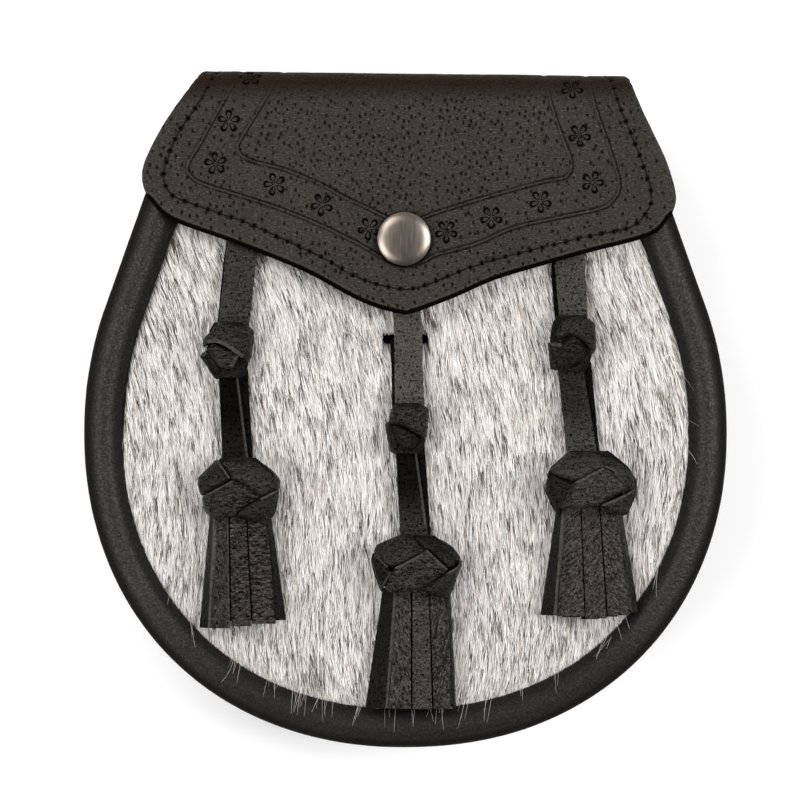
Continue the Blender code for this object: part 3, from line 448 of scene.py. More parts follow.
class SporranColours(bpy.types.PropertyGroup):
    flap: bpy.props.FloatVectorProperty(
        name="Flap", description="Pored leather of the flap", default=(0.0185, 0.0155, 0.0105), size=3,
        min=0.0, max=1.0, subtype="COLOR")
    rim: bpy.props.FloatVectorProperty(
        name="Rim", description="Smooth leather of the rims", default=(0.0075, 0.0065, 0.0056),
        size=3, min=0.0, max=1.0, subtype="COLOR")
    tassel: bpy.props.FloatVectorProperty(
        name="Tassels", description="Soft leather of the tassels", default=(0.0092, 0.0080, 0.0066),
        size=3, min=0.0, max=1.0, subtype="COLOR")
    cut_edge: bpy.props.FloatVectorProperty(
        name="Cut edge", description="Raw edge of the tassel leather",
        default=(0.043, 0.042, 0.039), size=3, min=0.0, max=1.0, subtype="COLOR")
    thread: bpy.props.FloatVectorProperty(
        name="Thread", description="Sewing thread", default=(0.004, 0.0038, 0.0036), size=3, min=0.0,
        max=1.0, subtype="COLOR")
    hair_pale: bpy.props.FloatVectorProperty(
        name="Pale hair", description="Lightest hairs", default=(0.93, 0.905, 0.875), size=3, min=0.0,
        max=1.0, subtype="COLOR")
    hair_dark: bpy.props.FloatVectorProperty(
        name="Dark hair", description="Darkest hairs", default=(0.030, 0.024, 0.020), size=3,
        min=0.0, max=1.0, subtype="COLOR")
    nickel: bpy.props.FloatVectorProperty(
        name="Nickel", description="Snap", default=(0.245, 0.207, 0.178), size=3, min=0.0, max=1.0,
        subtype="COLOR")


# ---------------------------------------------------------------- numbers

def noise(x, y, size, seed):
    """Smooth random values from -1 to 1, with a new one every size along x and y."""
    across = np.asarray(x, float) / size
    along = np.asarray(y, float) / size
    column = np.floor(across)
    row = np.floor(along)
    part_x = across - column
    part_y = along - row
    part_x = part_x * part_x * (3.0 - 2.0 * part_x)
    part_y = part_y * part_y * (3.0 - 2.0 * part_y)

    def corner(right, up):
        mixed = (column + right).astype(np.int64) * 374761393
        mixed = (mixed + (row + up).astype(np.int64) * 668265263 + seed * 974634777) & 0xFFFFFFFF
        mixed = ((mixed ^ (mixed >> 13)) * 1274126177) & 0xFFFFFFFF
        return ((mixed ^ (mixed >> 16)) & 0xFFFF) / 32767.5 - 1.0

    low = corner(0, 0) * (1.0 - part_x) + corner(1, 0) * part_x
    high = corner(0, 1) * (1.0 - part_x) + corner(1, 1) * part_x
    return low * (1.0 - part_y) + high * part_y


def eased(low, high, value):
    """0 below low, 1 above high, and a smooth step between them."""
    part = np.clip((value - low) / (high - low), 0.0, 1.0)
    return part * part * (3.0 - 2.0 * part)


def bell(value, width):
    return np.exp(-(value / width) ** 2)


def way_along(points):
    """Length of a path from its first point to each of its points."""
    return np.concatenate([[0.0], np.cumsum(np.linalg.norm(np.diff(points, axis=0), axis=1))])


def at_ways(points, way, wanted):
    """Rows of a path at the wanted lengths along it."""
    return np.stack([np.interp(wanted, way, column) for column in points.T], axis=-1)


def resampled(points, count, closed=False):
    """Points evenly spaced by length."""
    points = np.asarray(points, float)
    if closed:
        points = np.vstack([points, points[:1]])
    way = way_along(points)
    wanted = np.linspace(0.0, way[-1], count + 1)
    return at_ways(points, way, wanted[:-1] if closed else wanted)


def smooth_curve(points, count):
    """Points evenly spaced by length on a smooth curve through the given ones."""
    knots = np.asarray(points, float)
    knots = np.vstack([2 * knots[0] - knots[1], knots, 2 * knots[-1] - knots[-2]])
    dense = [knots[1:2]]
    part = (np.arange(1, 13) / 12)[:, None]
    for before, start, end, after in zip(knots, knots[1:], knots[2:], knots[3:]):
        dense.append(0.5 * (2 * start + (end - before) * part
                            + (2 * before - 5 * start + 4 * end - after) * part ** 2
                            + (3 * start - before - 3 * end + after) * part ** 3))
    return resampled(np.vstack(dense), count)


def nearest(points, samples):
    """Distance from each point to the nearest sample, and that sample's index."""
    distance = np.empty(len(points))
    index = np.empty(len(points), int)
    for start in range(0, len(points), 4000):
        part = points[start:start + 4000]
        apart = np.zeros((len(part), len(samples)), np.float32)
        for axis in range(points.shape[1]):
            apart += np.subtract.outer(part[:, axis], samples[:, axis]).astype(np.float32) ** 2
        closest = apart.argmin(axis=1)
        index[start:start + 4000] = closest
        distance[start:start + 4000] = np.sqrt(apart[np.arange(len(part)), closest])
    return distance, index


def inside(points, outline):
    """Whether each point lies in a closed outline."""
    hit = np.zeros(len(points), bool)
    x, y = points[:, 0], points[:, 1]
    for (x0, y0), (x1, y1) in zip(outline, np.roll(outline, -1, axis=0)):
        if y0 == y1:
            continue
        crossing = (y0 > y) != (y1 > y)
        hit ^= crossing & (x < x0 + (y - y0) * (x1 - x0) / (y1 - y0))
    return hit


def signed_distance(points, curve):
    """Distance from each point to a curve, negative on its right."""
    away, index = nearest(points, curve)
    along = normalised(np.gradient(curve, axis=0))[index]
    apart = points - curve[index]
    beside = along[:, 0] * apart[:, 1] - along[:, 1] * apart[:, 0]
    return np.where(away < 3.0, beside, np.where(inside(points, curve), away, -away))


def normalised(vectors):
    return vectors / np.maximum(np.linalg.norm(vectors, axis=-1, keepdims=True), 1e-9)


# ---------------------------------------------------------------- meshes

CUT_EDGE_DROPS = (0.75, 0.16)     # of a strap's border and of the row beside it, against its bevel
FOLDED_EDGE_DROPS = (0.35, 0.07)
CUT_EDGE_SHADES = (1.0, 0.9)
FOLDED_EDGE_SHADES = (0.25, 0.1)
STITCH_WAYS = np.array([0.10, 0.22, 0.5, 0.78, 0.90])       # parts of the way along one stitch
STITCH_THICKNESS = np.array([0.45, 0.95, 1.0, 0.95, 0.45])  # both against the thread's radius
STITCH_HEIGHTS = np.array([-0.9, 0.1, 0.55, 0.1, -0.9])
STITCH_SIDES = 6


def grid_faces(rows, columns, closed=False):
    """Four-sided faces of a grid of points, row by row."""
    wide = columns if closed else columns - 1
    row, column = np.meshgrid(np.arange(rows - 1), np.arange(wide), indexing="ij")
    after = (column + 1) % columns
    here = row * columns
    corners = [here + column, here + after, here + columns + after, here + columns + column]
    return np.stack(corners, axis=-1).reshape(-1, 4)


def grid_border(rows, columns):
    """Row and column of each point round the border of a grid."""
    border = [(0, column) for column in range(columns)]
    border += [(row, columns - 1) for row in range(1, rows)]
    border += [(rows - 1, column) for column in range(columns - 2, -1, -1)]
    return border + [(row, 0) for row in range(rows - 2, 0, -1)]


def piece(name, points, faces, material, replaced=(), values=None, maps=None, sharp=40.0):
    """Add a piece of the pouch from points in millimetres."""
    mesh = bpy.data.meshes.new(name)
    mesh.from_pydata((np.asarray(points, float) * MM).tolist(), [], [list(face) for face in faces])
    mesh.shade_smooth()
    if sharp:
        mesh.set_sharp_from_angle(angle=radians(sharp))
    for key, numbers in (values or {}).items():
        layer = mesh.attributes.new(key, "FLOAT", "POINT")
        layer.data.foreach_set("value", np.asarray(numbers, np.float32).ravel())
    if maps:
        corners = np.empty(len(mesh.loops), int)
        mesh.loops.foreach_get("vertex_index", corners)
        for key, pairs in maps.items():
            layer = mesh.uv_layers.new(name=key)
            layer.data.foreach_set("uv", np.asarray(pairs, np.float32)[corners].ravel())
    mesh.materials.append(material)
    mesh.validate()
    made = bpy.data.objects.new(name, mesh)
    bpy.context.scene.collection.objects.link(made)
    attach(made, BODY)
    if replaced:
        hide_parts(*replaced)
    return made


def joined(shapes):
    """Several (points, faces, values) as one."""
    points, faces, values = [], [], []
    start = 0
    for some_points, some_faces, some_values in shapes:
        points.append(np.asarray(some_points, float))
        faces.extend([[start + corner for corner in face] for face in some_faces])
        values.append(np.asarray(some_values, float))
        start += len(some_points)
    return np.vstack(points), faces, np.concatenate(values)


def swept(rings):
    """Faces of a closed skin through an array of rings, with both ends."""
    rows, columns = rings.shape[:2]
    last = (rows - 1) * columns
    ends = [list(range(columns))[::-1], list(range(last, last + columns))]
    return grid_faces(rows, columns, closed=True).tolist() + ends


def wound(loop):
    """The same closed loop, running anticlockwise."""
    loop = np.asarray(loop, float)[:, :2]
    after = np.roll(loop, -1, axis=0)
    turned_left = np.sum(loop[:, 0] * after[:, 1] - after[:, 0] * loop[:, 1]) > 0
    return loop if turned_left else loop[::-1]


def filled(outline, holes=(), spacing=3.0, clearance=0.45):
    """Triangles that fill an outline with holes: points, triangles, and each loop's point indices."""
    loops = [wound(outline)] + [wound(hole)[::-1] for hole in holes]
    low = loops[0].min(axis=0)
    high = loops[0].max(axis=0)
    rows = np.arange(low[1], high[1], spacing * 0.866)
    lattice = np.array([
        (x, y) for number, y in enumerate(rows)
        for x in np.arange(low[0] + (number % 2) * spacing / 2, high[0], spacing)
    ]).reshape(-1, 2)
    lattice = lattice[inside(lattice, loops[0])]
    for hole in loops[1:]:
        lattice = lattice[~inside(lattice, hole)]
    if len(lattice):
        lattice = lattice[nearest(lattice, np.vstack(loops))[0] > spacing * clearance]
    coords, edges, starts = [], [], []
    for loop in loops:
        start = len(coords)
        starts.append(start)
        coords.extend(map(tuple, loop))
        count = len(loop)
        edges.extend((start + index, start + (index + 1) % count) for index in range(count))
    coords.extend(map(tuple, lattice))
    made, _, triangles, origins = delaunay_2d_cdt([Vector(point) for point in coords], edges, [], 0, 1e-6)[:4]
    points = np.array([tuple(point) for point in made])
    triangles = np.array(triangles)
    middle = points[triangles].mean(axis=1)
    keep = inside(middle, loops[0])
    for hole in loops[1:]:
        keep &= ~inside(middle, hole)
    place = {}
    for index, sources in enumerate(origins):
        for source in sources:
            place[source] = index
    rings = [[place[start + index] for index in range(len(loop))] for start, loop in zip(starts, loops)]
    return points, triangles[keep], rings


def slab(outline, holes, top, bottom, spacing=3.0):
    """Closed plate between two heights, each a number or a function of x and y."""
    flat, triangles, rings = filled(outline, holes, spacing)
    count = len(flat)
    levels = []
    for level in (top, bottom):
        levels.append(level(flat[:, 0], flat[:, 1]) if callable(level) else np.full(count, float(level)))
    points = np.vstack([np.column_stack([flat, level]) for level in levels])
    faces = triangles.tolist() + (triangles[:, ::-1] + count).tolist()
    for ring in rings:
        for here, after in zip(ring, ring[1:] + ring[:1]):
            faces.append([after, here, count + here, count + after])
    return points, faces


def turned(profile, center, sides):
    """Closed turned shape from (radius, z) rows."""
    turn = 2 * pi * np.arange(sides) / sides
    rings = np.array([
        np.column_stack([center[0] + radius * np.cos(turn), center[1] + radius * np.sin(turn),
                         np.full(sides, z)])
        for radius, z in profile
    ])
    return rings.reshape(-1, 3), [face[::-1] for face in swept(rings)]


def strap(left, right, thickness=THONG_THICKNESS, cut=(False, False), bevel=0.8, across=9, rough=0.06,
          seed=1):
    """Closed leather strap between two edge paths: points, faces, cut-edge values and its own map."""
    left = np.asarray(left, float)
    right = np.asarray(right, float)
    width = np.linalg.norm(right - left, axis=1)[:, None]
    along = normalised(np.gradient((left + right) / 2, axis=0))
    side = normalised(right - left)
    up = normalised(np.cross(side, along))
    part = np.linspace(0.0, 1.0, across)[None, :] * np.ones_like(width)
    rim = np.clip(bevel / width[:, 0], 0.02, 0.3)
    part[:, 1] = 0.8 * rim
    part[:, 2] = rim * 1.05
    part[:, -3] = 1.0 - rim * 1.05
    part[:, -2] = 1.0 - 0.8 * rim
    part[:, 3:-3] = rim[:, None] + (1 - rim - rim)[:, None] * np.linspace(0, 1, across - 4)[None, 1:-1]
    drop = np.zeros(across)
    shade = np.zeros(across)
    for ends, is_cut in zip(([0, 1], [-1, -2]), cut):
        drop[ends] = CUT_EDGE_DROPS if is_cut else FOLDED_EDGE_DROPS
        shade[ends] = CUT_EDGE_SHADES if is_cut else FOLDED_EDGE_SHADES
    flat_x = part * width
    flat_y = way_along((left + right) / 2)[:, None] * np.ones_like(part)
    relief = rough * noise(flat_x + 31.0 * seed, flat_y, 1.6, seed)
    relief = relief + rough * noise(flat_x, flat_y, 4.5, seed + 7)
    relief = relief * np.minimum(1.0, np.minimum(part, 1 - part) * 8)
    height = relief - drop[None, :] * bevel
    upper = left[:, None] + (right - left)[:, None] * part[..., None] + up[:, None] * height[..., None]
    lower = np.stack([right, (left + right) / 2, left], axis=1) - (up * thickness)[:, None]
    rings = np.concatenate([upper, lower], axis=1)
    shades = np.concatenate([np.tile(shade, (len(left), 1)), np.full((len(left), 3), 0.4)], axis=1)
    under = np.stack([width[:, 0], width[:, 0] / 2, 0 * width[:, 0]], axis=1)
    flat = np.stack([np.concatenate([flat_x, under], axis=1),
                     np.concatenate([flat_y, flat_y[:, :3]], axis=1)], axis=-1)
    return rings.reshape(-1, 3), swept(rings), shades.ravel(), flat.reshape(-1, 2)


def joined_straps(straps, textures):
    """Straps as one piece, each with its own (crease, lightness, turn of the grain)."""
    points, faces, shades = joined([row[:3] for row in straps])
    flat, creases, tones = [], [], []
    for number, (row, (crease, tone, turned_by)) in enumerate(zip(straps, textures)):
        turn = radians(turned_by)
        x, y = row[3].T
        turned_x = x * cos(turn) - y * sin(turn)
        flat.append(np.column_stack([turned_x + 90.0 * number, x * sin(turn) + y * cos(turn)]))
        creases.append(np.full(len(x), crease))
        tones.append(np.full(len(x), tone))
    values = {"cut": shades, "crease": np.concatenate(creases), "tone": np.concatenate(tones)}
    return points, faces, values, {"hide": np.vstack(flat) / 100.0}


def stitches(path, lift, pitch, radius, skip_ends=0.0):
    """A row of thread stitches on a path: points, faces and the places of the holes."""
    path = np.asarray(path, float)
    lift = np.broadcast_to(np.asarray(lift, float), path.shape)
    way = way_along(path)
    count = max(1, int(round((way[-1] - 2 * skip_ends) / pitch)))
    holes_at = np.linspace(skip_ends, way[-1] - skip_ends, count + 1)
    wanted = holes_at[:-1, None] + np.diff(holes_at)[:, None] * STITCH_WAYS
    middle = at_ways(path, way, wanted)
    up = normalised(at_ways(lift, way, wanted))
    along = normalised(np.gradient(middle, axis=1))
    side = normalised(np.cross(up, along))
    middle = middle + up * (STITCH_HEIGHTS * radius)[None, :, None]
    turn = 2 * pi * np.arange(STITCH_SIDES) / STITCH_SIDES
    ring = (side[:, :, None] * np.cos(turn)[:, None] + up[:, :, None] * np.sin(turn)[:, None])
    points = middle[:, :, None] + ring * (STITCH_THICKNESS * radius)[None, :, None, None]
    one = swept(points[0])
    size = len(STITCH_WAYS) * STITCH_SIDES
    faces = [[corner + number * size for corner in face] for number in range(count) for face in one]
    return points.reshape(-1, 3), faces, at_ways(path, way, holes_at)


# ---------------------------------------------------------------- materials

class Shading:
    """A material's node tree, with short ways to add and join its nodes."""

    def __init__(self, name):
        self.material = bpy.data.materials.new(name)
        self.material.use_nodes = True
        self.tree = self.material.node_tree
        self.shader = self.tree.nodes["Principled BSDF"]

    def fill(self, socket, value):
        """Link a socket to another node's output, or else set its value."""
        if isinstance(value, bpy.types.NodeSocket):
            self.tree.links.new(value, socket)
        else:
            socket.default_value = value

    def add(self, kind, inputs=(), **settings):
        node = self.tree.nodes.new(kind)
        for key, value in settings.items():
            setattr(node, key, value)
        for key, value in dict(inputs).items():
            self.fill(node.inputs[key], value)
        return node

    def math(self, operation, first, second=0.0, third=0.0):
        node = self.add("ShaderNodeMath", {0: first, 1: second, 2: third}, operation=operation)
        return node.outputs[0]

    def times(self, first, second):
        return self.math("MULTIPLY", first, second)

    def relief(self, *layers):
        """Height in millimetres, from the value and depth of each layer."""
        (value, depth), *others = layers
        height = self.times(value, depth)
        for value, depth in others:
            height = self.math("MULTIPLY_ADD", value, depth, height)
        return height

    def ramp(self, factor, stops):
        """Colour or grey from a value, by (position, colour or number) stops."""
        node = self.add("ShaderNodeValToRGB", {"Fac": factor})
        elements = node.color_ramp.elements
        while len(elements) < len(stops):
            elements.new(0.5)
        for element, (position, colour) in zip(elements, stops):
            element.position = position
            grey = isinstance(colour, (int, float))
            element.color = (colour, colour, colour, 1.0) if grey else (*colour, 1.0)
        return node.outputs["Color"]

    def shades(self, factor, colour, *stops):
        """Darker and lighter shades of a colour, by stops of position and lightness."""
        return self.ramp(factor, [(position, shade_of(colour, part)) for position, part in stops])

    def mix(self, factor, first, second, blend="MIX"):
        node = self.add("ShaderNodeMix", data_type="RGBA", blend_type=blend)
        for index, value in ((0, factor), (6, first), (7, second)):
            self.fill(node.inputs[index], (*value, 1.0) if isinstance(value, tuple) else value)
        return node.outputs[2]

    def value(self, name):
        return self.add("ShaderNodeAttribute", attribute_name=name).outputs["Fac"]

    def place(self, map_name=None, stretch=(1.0, 1.0, 1.0)):
        """Coordinates in millimetres, of the object or of one of its maps."""
        if map_name:
            source = self.add("ShaderNodeUVMap", uv_map=map_name).outputs["UV"]
            scale = 100.0
        else:
            source = self.add("ShaderNodeTexCoord").outputs["Object"]
            scale = 1.0 / MM
        sized = tuple(scale * part for part in stretch)
        return self.add("ShaderNodeVectorMath", {0: source, 1: sized}, operation="MULTIPLY").outputs[0]

    def noise(self, place, size, detail=3.0, rough=0.55, warp=0.0):
        node = self.add("ShaderNodeTexNoise", {"Vector": place, "Scale": 1.0 / size, "Detail": detail,
                                               "Roughness": rough, "Distortion": warp})
        return node.outputs["Fac"]

    def cells(self, place, size, feature="F1", flat=False):
        return self.add("ShaderNodeTexVoronoi", {"Vector": place, "Scale": 1.0 / size}, feature=feature,
                        voronoi_dimensions="2D" if flat else "3D")

    def faded(self, distance, reach):
        """1 where the distance is 0, and 0 from its reach on."""
        part = self.math("SUBTRACT", 1.0, self.math("DIVIDE", distance, reach))
        return self.add("ShaderNodeClamp", {0: part}).outputs[0]

    def pits(self, place, spacing, smallest, largest, share=1.0, scatter=1.0):
        """1 in the middle of each pore and 0 outside, for pores of mixed sizes."""
        cells = self.cells(place, spacing, flat=True)
        cells.inputs["Randomness"].default_value = scatter
        own = self.add("ShaderNodeSeparateColor", {0: cells.outputs["Color"]}).outputs
        radius = self.math("MULTIPLY_ADD", own[0], (largest - smallest) / spacing, smallest / spacing)
        depth = self.math("POWER", self.faded(cells.outputs["Distance"], radius), 0.7)
        if share < 1.0:
            depth = self.math("MULTIPLY", depth, self.math("LESS_THAN", own[1], share))
        return depth

    def finish(self, colour, height, roughness=0.5, specular=0.5, metallic=0.0, tint=(1.0, 1.0, 1.0)):
        """Join colour and height (in millimetres) to the shader."""
        parts = {"Base Color": colour, "Roughness": roughness, "Specular IOR Level": specular,
                 "Specular Tint": (*tint, 1.0), "Metallic": metallic}
        if height is not None:
            bump = self.add("ShaderNodeBump", {"Strength": 1.0, "Distance": MM, "Height": height})
            parts["Normal"] = bump.outputs[0]
        for name, value in parts.items():
            self.fill(self.shader.inputs[name], value)
        return self.material


def shade_of(colour, factor):
    return tuple(min(1.0, part * factor) for part in colour)


def smooth_leather(name, colour, grain=0.75, depth=0.13, speckle=1.0, roughness=(0.42, 0.56)):
    """Satin leather with a fine pebbled grain that catches the light as specks."""
    look = Shading(name)
    place = look.place()
    cloud = look.noise(place, 22.0, 4.0)
    fine = look.noise(place, 0.6, 2.0)
    cells = look.cells(place, grain, "SMOOTH_F1").outputs["Distance"]
    wide = look.noise(place, 4.5, 3.0)
    tone = look.shades(cloud, colour, (0.3, 0.72), (0.55, 1.0), (0.75, 1.45))
    pebble = look.ramp(cells, ((0.05, 1.0), (0.55, 0.55)))
    tone = look.mix(0.55, tone, pebble, "MULTIPLY")
    side = look.value("side")
    specks = look.ramp(fine, ((0.36, 1.0 - 0.55 * speckle), (0.66, 1.0 + 1.2 * speckle)))
    colour_out = look.mix(0.8, tone, specks, "MULTIPLY")
    # painted shade: where the side value is high, the colour loses its specks
    colour_out = look.mix(side, colour_out, shade_of(colour, 1.15))
    shine = look.ramp(fine, ((0.38, 0.34 - 0.22 * speckle), (0.52, 0.34), (0.66, 0.34 + 0.51 * speckle)))
    # painted shade: where the side value is high, the sheen is cut and the leather made rougher
    shine = look.math("MULTIPLY", shine, look.math("MULTIPLY_ADD", side, -0.93, 1.0))
    height = look.relief((cells, -depth), (fine, depth * 1.6), (wide, 0.06))
    rough = look.ramp(look.noise(place, 1.6, 2.0), ((0.3, roughness[0]), (0.7, roughness[1])))
    rough = look.math("MULTIPLY_ADD", side, 0.35, rough)
    return look.finish(colour_out, height, rough, shine, tint=(1.0, 0.96, 0.89))


def tassel_leather(name, colour, cut_colour, pore=2.6):
    """Soft strap leather: pores, creases across, and a paler raw edge."""
    look = Shading(name)
    place = look.place("hide")
    crease = look.value("crease")
    cloud = look.noise(place, 7.0, 4.0)
    fine = look.noise(place, 0.5, 2.0)
    grain = look.cells(place, 1.0, "SMOOTH_F1").outputs["Distance"]
    pits = look.pits(place, pore * 0.8, 0.18, 0.50, 0.75)
    wander = look.add("ShaderNodeTexNoise", {"Vector": place, "Scale": 0.8, "Detail": 3.0}).outputs["Color"]
    stretched = {0: wander, 1: (1.5, 2.2, 0.0), 2: look.place("hide", (0.50, 1.25, 1.0))}
    stretched = look.add("ShaderNodeVectorMath", stretched, operation="MULTIPLY_ADD").outputs[0]
    folds = look.cells(stretched, 1.15, "DISTANCE_TO_EDGE", flat=True).outputs["Distance"]
    folds = look.ramp(folds, ((0.0, 0.0), (0.22, 1.0)))
    wrinkles = look.noise(look.place("hide", (0.42, 1.15, 1.0)), 0.95, 2.0, 0.5, 0.8)
    folds = look.mix(0.6, folds, look.ramp(wrinkles, ((0.38, 0.0), (0.54, 1.0))))
    tone = look.shades(cloud, colour, (0.28, 0.6), (0.5, 1.0), (0.74, 1.6))
    # painted shade: the pores are drawn darker
    tone = look.mix(0.7, tone, look.ramp(pits, ((0.0, 1.0), (0.6, 0.12))), "MULTIPLY")
    # painted shade in the creases, which are drawn dark, and painted light on the leather between them
    tone = look.mix(crease, tone, look.ramp(folds, ((0.15, 0.08), (0.85, 1.45))), "MULTIPLY")
    tone = look.mix(0.6, tone, look.ramp(fine, ((0.34, 0.55), (0.66, 1.5))), "MULTIPLY")
    # the tone value: lightness of each strap and band, partly the leather's own tone and partly painted
    # shade; it scales the sheen too
    tone_and_shade = look.value("tone")
    tone = look.add("ShaderNodeVectorMath", {0: tone, "Scale": tone_and_shade}, operation="SCALE").outputs[0]
    raw = look.shades(look.noise(place, 1.3, 3.0), cut_colour, (0.3, 0.72), (0.7, 1.15))
    edge = look.ramp(look.value("cut"), ((0.35, 0.0), (0.75, 1.0)))
    colour_out = look.mix(edge, tone, raw)
    height = look.relief((pits, -0.30), (grain, -0.22), (fine, 0.26), (look.times(folds, crease), 0.42))
    rough = look.ramp(look.noise(place, 2.0, 2.0), ((0.3, 0.34), (0.7, 0.52)))
    # painted shade: the sheen is taken out of the creases and the pores
    creased = look.math("MULTIPLY", crease, look.math("SUBTRACT", 1.0, folds))
    shine = look.math("SUBTRACT", 1.0, look.math("MAXIMUM", creased, look.math("MULTIPLY", pits, 0.9)))
    shine = look.math("MULTIPLY", shine, look.ramp(fine, ((0.35, 0.10), (0.65, 0.54))))
    shine = look.math("MULTIPLY", shine, look.math("MINIMUM", tone_and_shade, 1.3))
    return look.finish(colour_out, height, rough, shine, tint=(1.0, 0.955, 0.86))


def flap_leather(colours, sizes):
    """Pored leather with the crisp part of its tooling, stamped flowers and stitch holes."""
    look = Shading("sporran_flap_leather")
    colour = tuple(colours.flap)
    place = look.place("hide")
    spacing = sizes.pore_spacing / MM
    slanted = {"Vector": place, "Rotation": (0.0, 0.0, 0.45), "Scale": (1.25, 0.85, 1.0)}
    slanted = look.add("ShaderNodeMapping", slanted).outputs[0]
    pits = look.pits(slanted, spacing * 1.08, 0.22, 0.64, 0.85, 0.9)
    middle_pits = look.pits(slanted, spacing * 0.88, 0.24, 0.66, 0.9, 0.75)
    inner = look.value("middle")
    pits = look.math("MULTIPLY_ADD", look.math("SUBTRACT", middle_pits, pits), inner, pits)
    line = look.math("MINIMUM", look.math("ABSOLUTE", look.value("line_outer")),
                     look.math("ABSOLUTE", look.value("line_inner")))
    hole = look.value("hole")
    edge = look.value("edge")

    def groove(distance, middle, width):
        return look.faded(look.math("ABSOLUTE", look.math("SUBTRACT", distance, middle)), width)

    def slant(x, y):
        return look.math("SQRT", look.math("MULTIPLY_ADD", x, x, look.times(y, y)))

    bend = look.value("bend")
    kept = look.math("MULTIPLY_ADD", bend, -0.8, 1.0)
    pits = look.math("MULTIPLY", pits, look.math("MULTIPLY_ADD", bend, -0.6, 1.0))
    # grooves are drawn dark, heavier on their shaded side: painted shade
    grooves = look.math("MULTIPLY", groove(line, 0.50, 0.36), look.math("MULTIPLY", look.value("lee"), kept))
    ridge = look.math("MULTIPLY", groove(line, 0.0, 0.32), kept)
    bloom_x = look.value("bloom_x")
    bloom_y = look.value("bloom_y")
    turn = look.math("ARCTAN2", bloom_y, bloom_x)
    reach = slant(bloom_x, bloom_y)
    petal = look.math("WRAP", turn, pi / 5, -pi / 5)
    petal_x = look.math("MULTIPLY", reach, look.math("COSINE", petal))
    petal_y = look.math("MULTIPLY", reach, look.math("SINE", petal))
    oval_x = look.math("DIVIDE", look.math("SUBTRACT", petal_x, 1.75), 1.15)
    oval_y = look.math("DIVIDE", petal_y, look.math("MULTIPLY_ADD", petal_x, 0.26, 0.18))
    oval = slant(oval_x, oval_y)
    stamp = look.math("DIVIDE", look.math("ABSOLUTE", look.math("SUBTRACT", oval, 1.0)),
                      look.math("MULTIPLY_ADD", petal_x, 0.10, 0.12))
    stamp = look.ramp(stamp, ((0.45, 1.0), (1.0, 0.0)))
    stamp = look.math("MULTIPLY", stamp, look.math("GREATER_THAN", look.value("bloom"), 0.5))
    punched = look.ramp(hole, ((0.42, 1.0), (0.80, 0.0)))

    cloud = look.noise(place, 26.0, 5.0)
    grain = look.noise(place, 0.75, 3.0, 0.6)
    cells = look.cells(place, 1.1, "SMOOTH_F1", flat=True).outputs["Distance"]
    flecks = look.noise(look.place("hide", (0.55, 1.2, 1.0)), 0.5, 2.0)
    tone = look.shades(cloud, colour, (0.30, 0.80), (0.5, 1.0), (0.72, 1.22))
    tone = look.mix(0.6, tone, look.ramp(grain, ((0.3, 0.55), (0.7, 1.45))), "MULTIPLY")
    tone = look.mix(0.5, tone, look.ramp(cells, ((0.1, 1.25), (0.6, 0.7))), "MULTIPLY")
    tone = look.mix(look.ramp(flecks, ((0.58, 0.0), (0.72, 0.7))), tone, shade_of(colour, 2.6))
    browned = look.math("MULTIPLY", bend, 0.85)
    tone = look.mix(browned, tone, (colour[0] * 0.75, colour[1] * 0.50, colour[2] * 0.38))
    # painted highlight along the ridge of the tooled lines
    tone = look.mix(look.math("MULTIPLY", ridge, 0.8), tone, shade_of(colour, 1.9))
    half_edge = look.math("MULTIPLY", edge, 0.5)
    # a lighter line about 1.3 to 2 mm inside the lower edge
    lighter_edge_line = look.ramp(half_edge, ((0.66, 0.0), (0.76, 0.5), (0.88, 0.5), (1.0, 0.0)))
    tone = look.mix(lighter_edge_line, tone, shade_of(colour, 2.0))
    # black band along the lower edge: partly the edge's own paint, partly painted shadow under the edge
    edge_paint_and_shadow = look.ramp(half_edge, ((0.54, 1.0), (0.68, 0.0)))
    # painted shade: the pores, stamped flowers, stitch holes, grooves and the dent round the snap are drawn
    # near black, with the edge band
    painted_shade_and_edge = pits
    for mark in (edge_paint_and_shadow, stamp, punched, look.times(grooves, 0.9), look.value("dent")):
        painted_shade_and_edge = look.math("MAXIMUM", painted_shade_and_edge, mark)
    colour_out = look.mix(look.math("MULTIPLY", painted_shade_and_edge, 0.93), tone, shade_of(colour, 0.08))
    height = look.relief((pits, -0.50), (stamp, -0.30), (grooves, -0.22), (ridge, 0.14),
                         (punched, -0.25), (flecks, 0.22), (grain, 0.40), (cells, -0.16))
    rough = look.ramp(look.noise(place, 2.4, 3.0), ((0.3, 0.42), (0.7, 0.58)))
    shine = look.ramp(flecks, ((0.36, 0.14), (0.55, 0.24), (0.72, 0.60)))
    # painted shade: no sheen in these marks
    shine = look.math("MULTIPLY", shine, look.math("SUBTRACT", 1.0, painted_shade_and_edge))
    # painted shade: the sheen is cut on the fold
    shine = look.math("MULTIPLY", shine, look.math("MULTIPLY_ADD", bend, -0.93, 1.0))
    return look.finish(colour_out, height, rough, shine)


def thread_look(colours):
    look = Shading("sporran_thread")
    twist = look.add("ShaderNodeTexWave", {"Vector": look.place(), "Scale": 1.4, "Distortion": 1.0})
    twist = twist.outputs["Fac"]
    tone = look.shades(twist, tuple(colours.thread), (0.2, 0.6), (0.8, 1.8))
    return look.finish(tone, look.times(twist, 0.04), 0.7, 0.1)


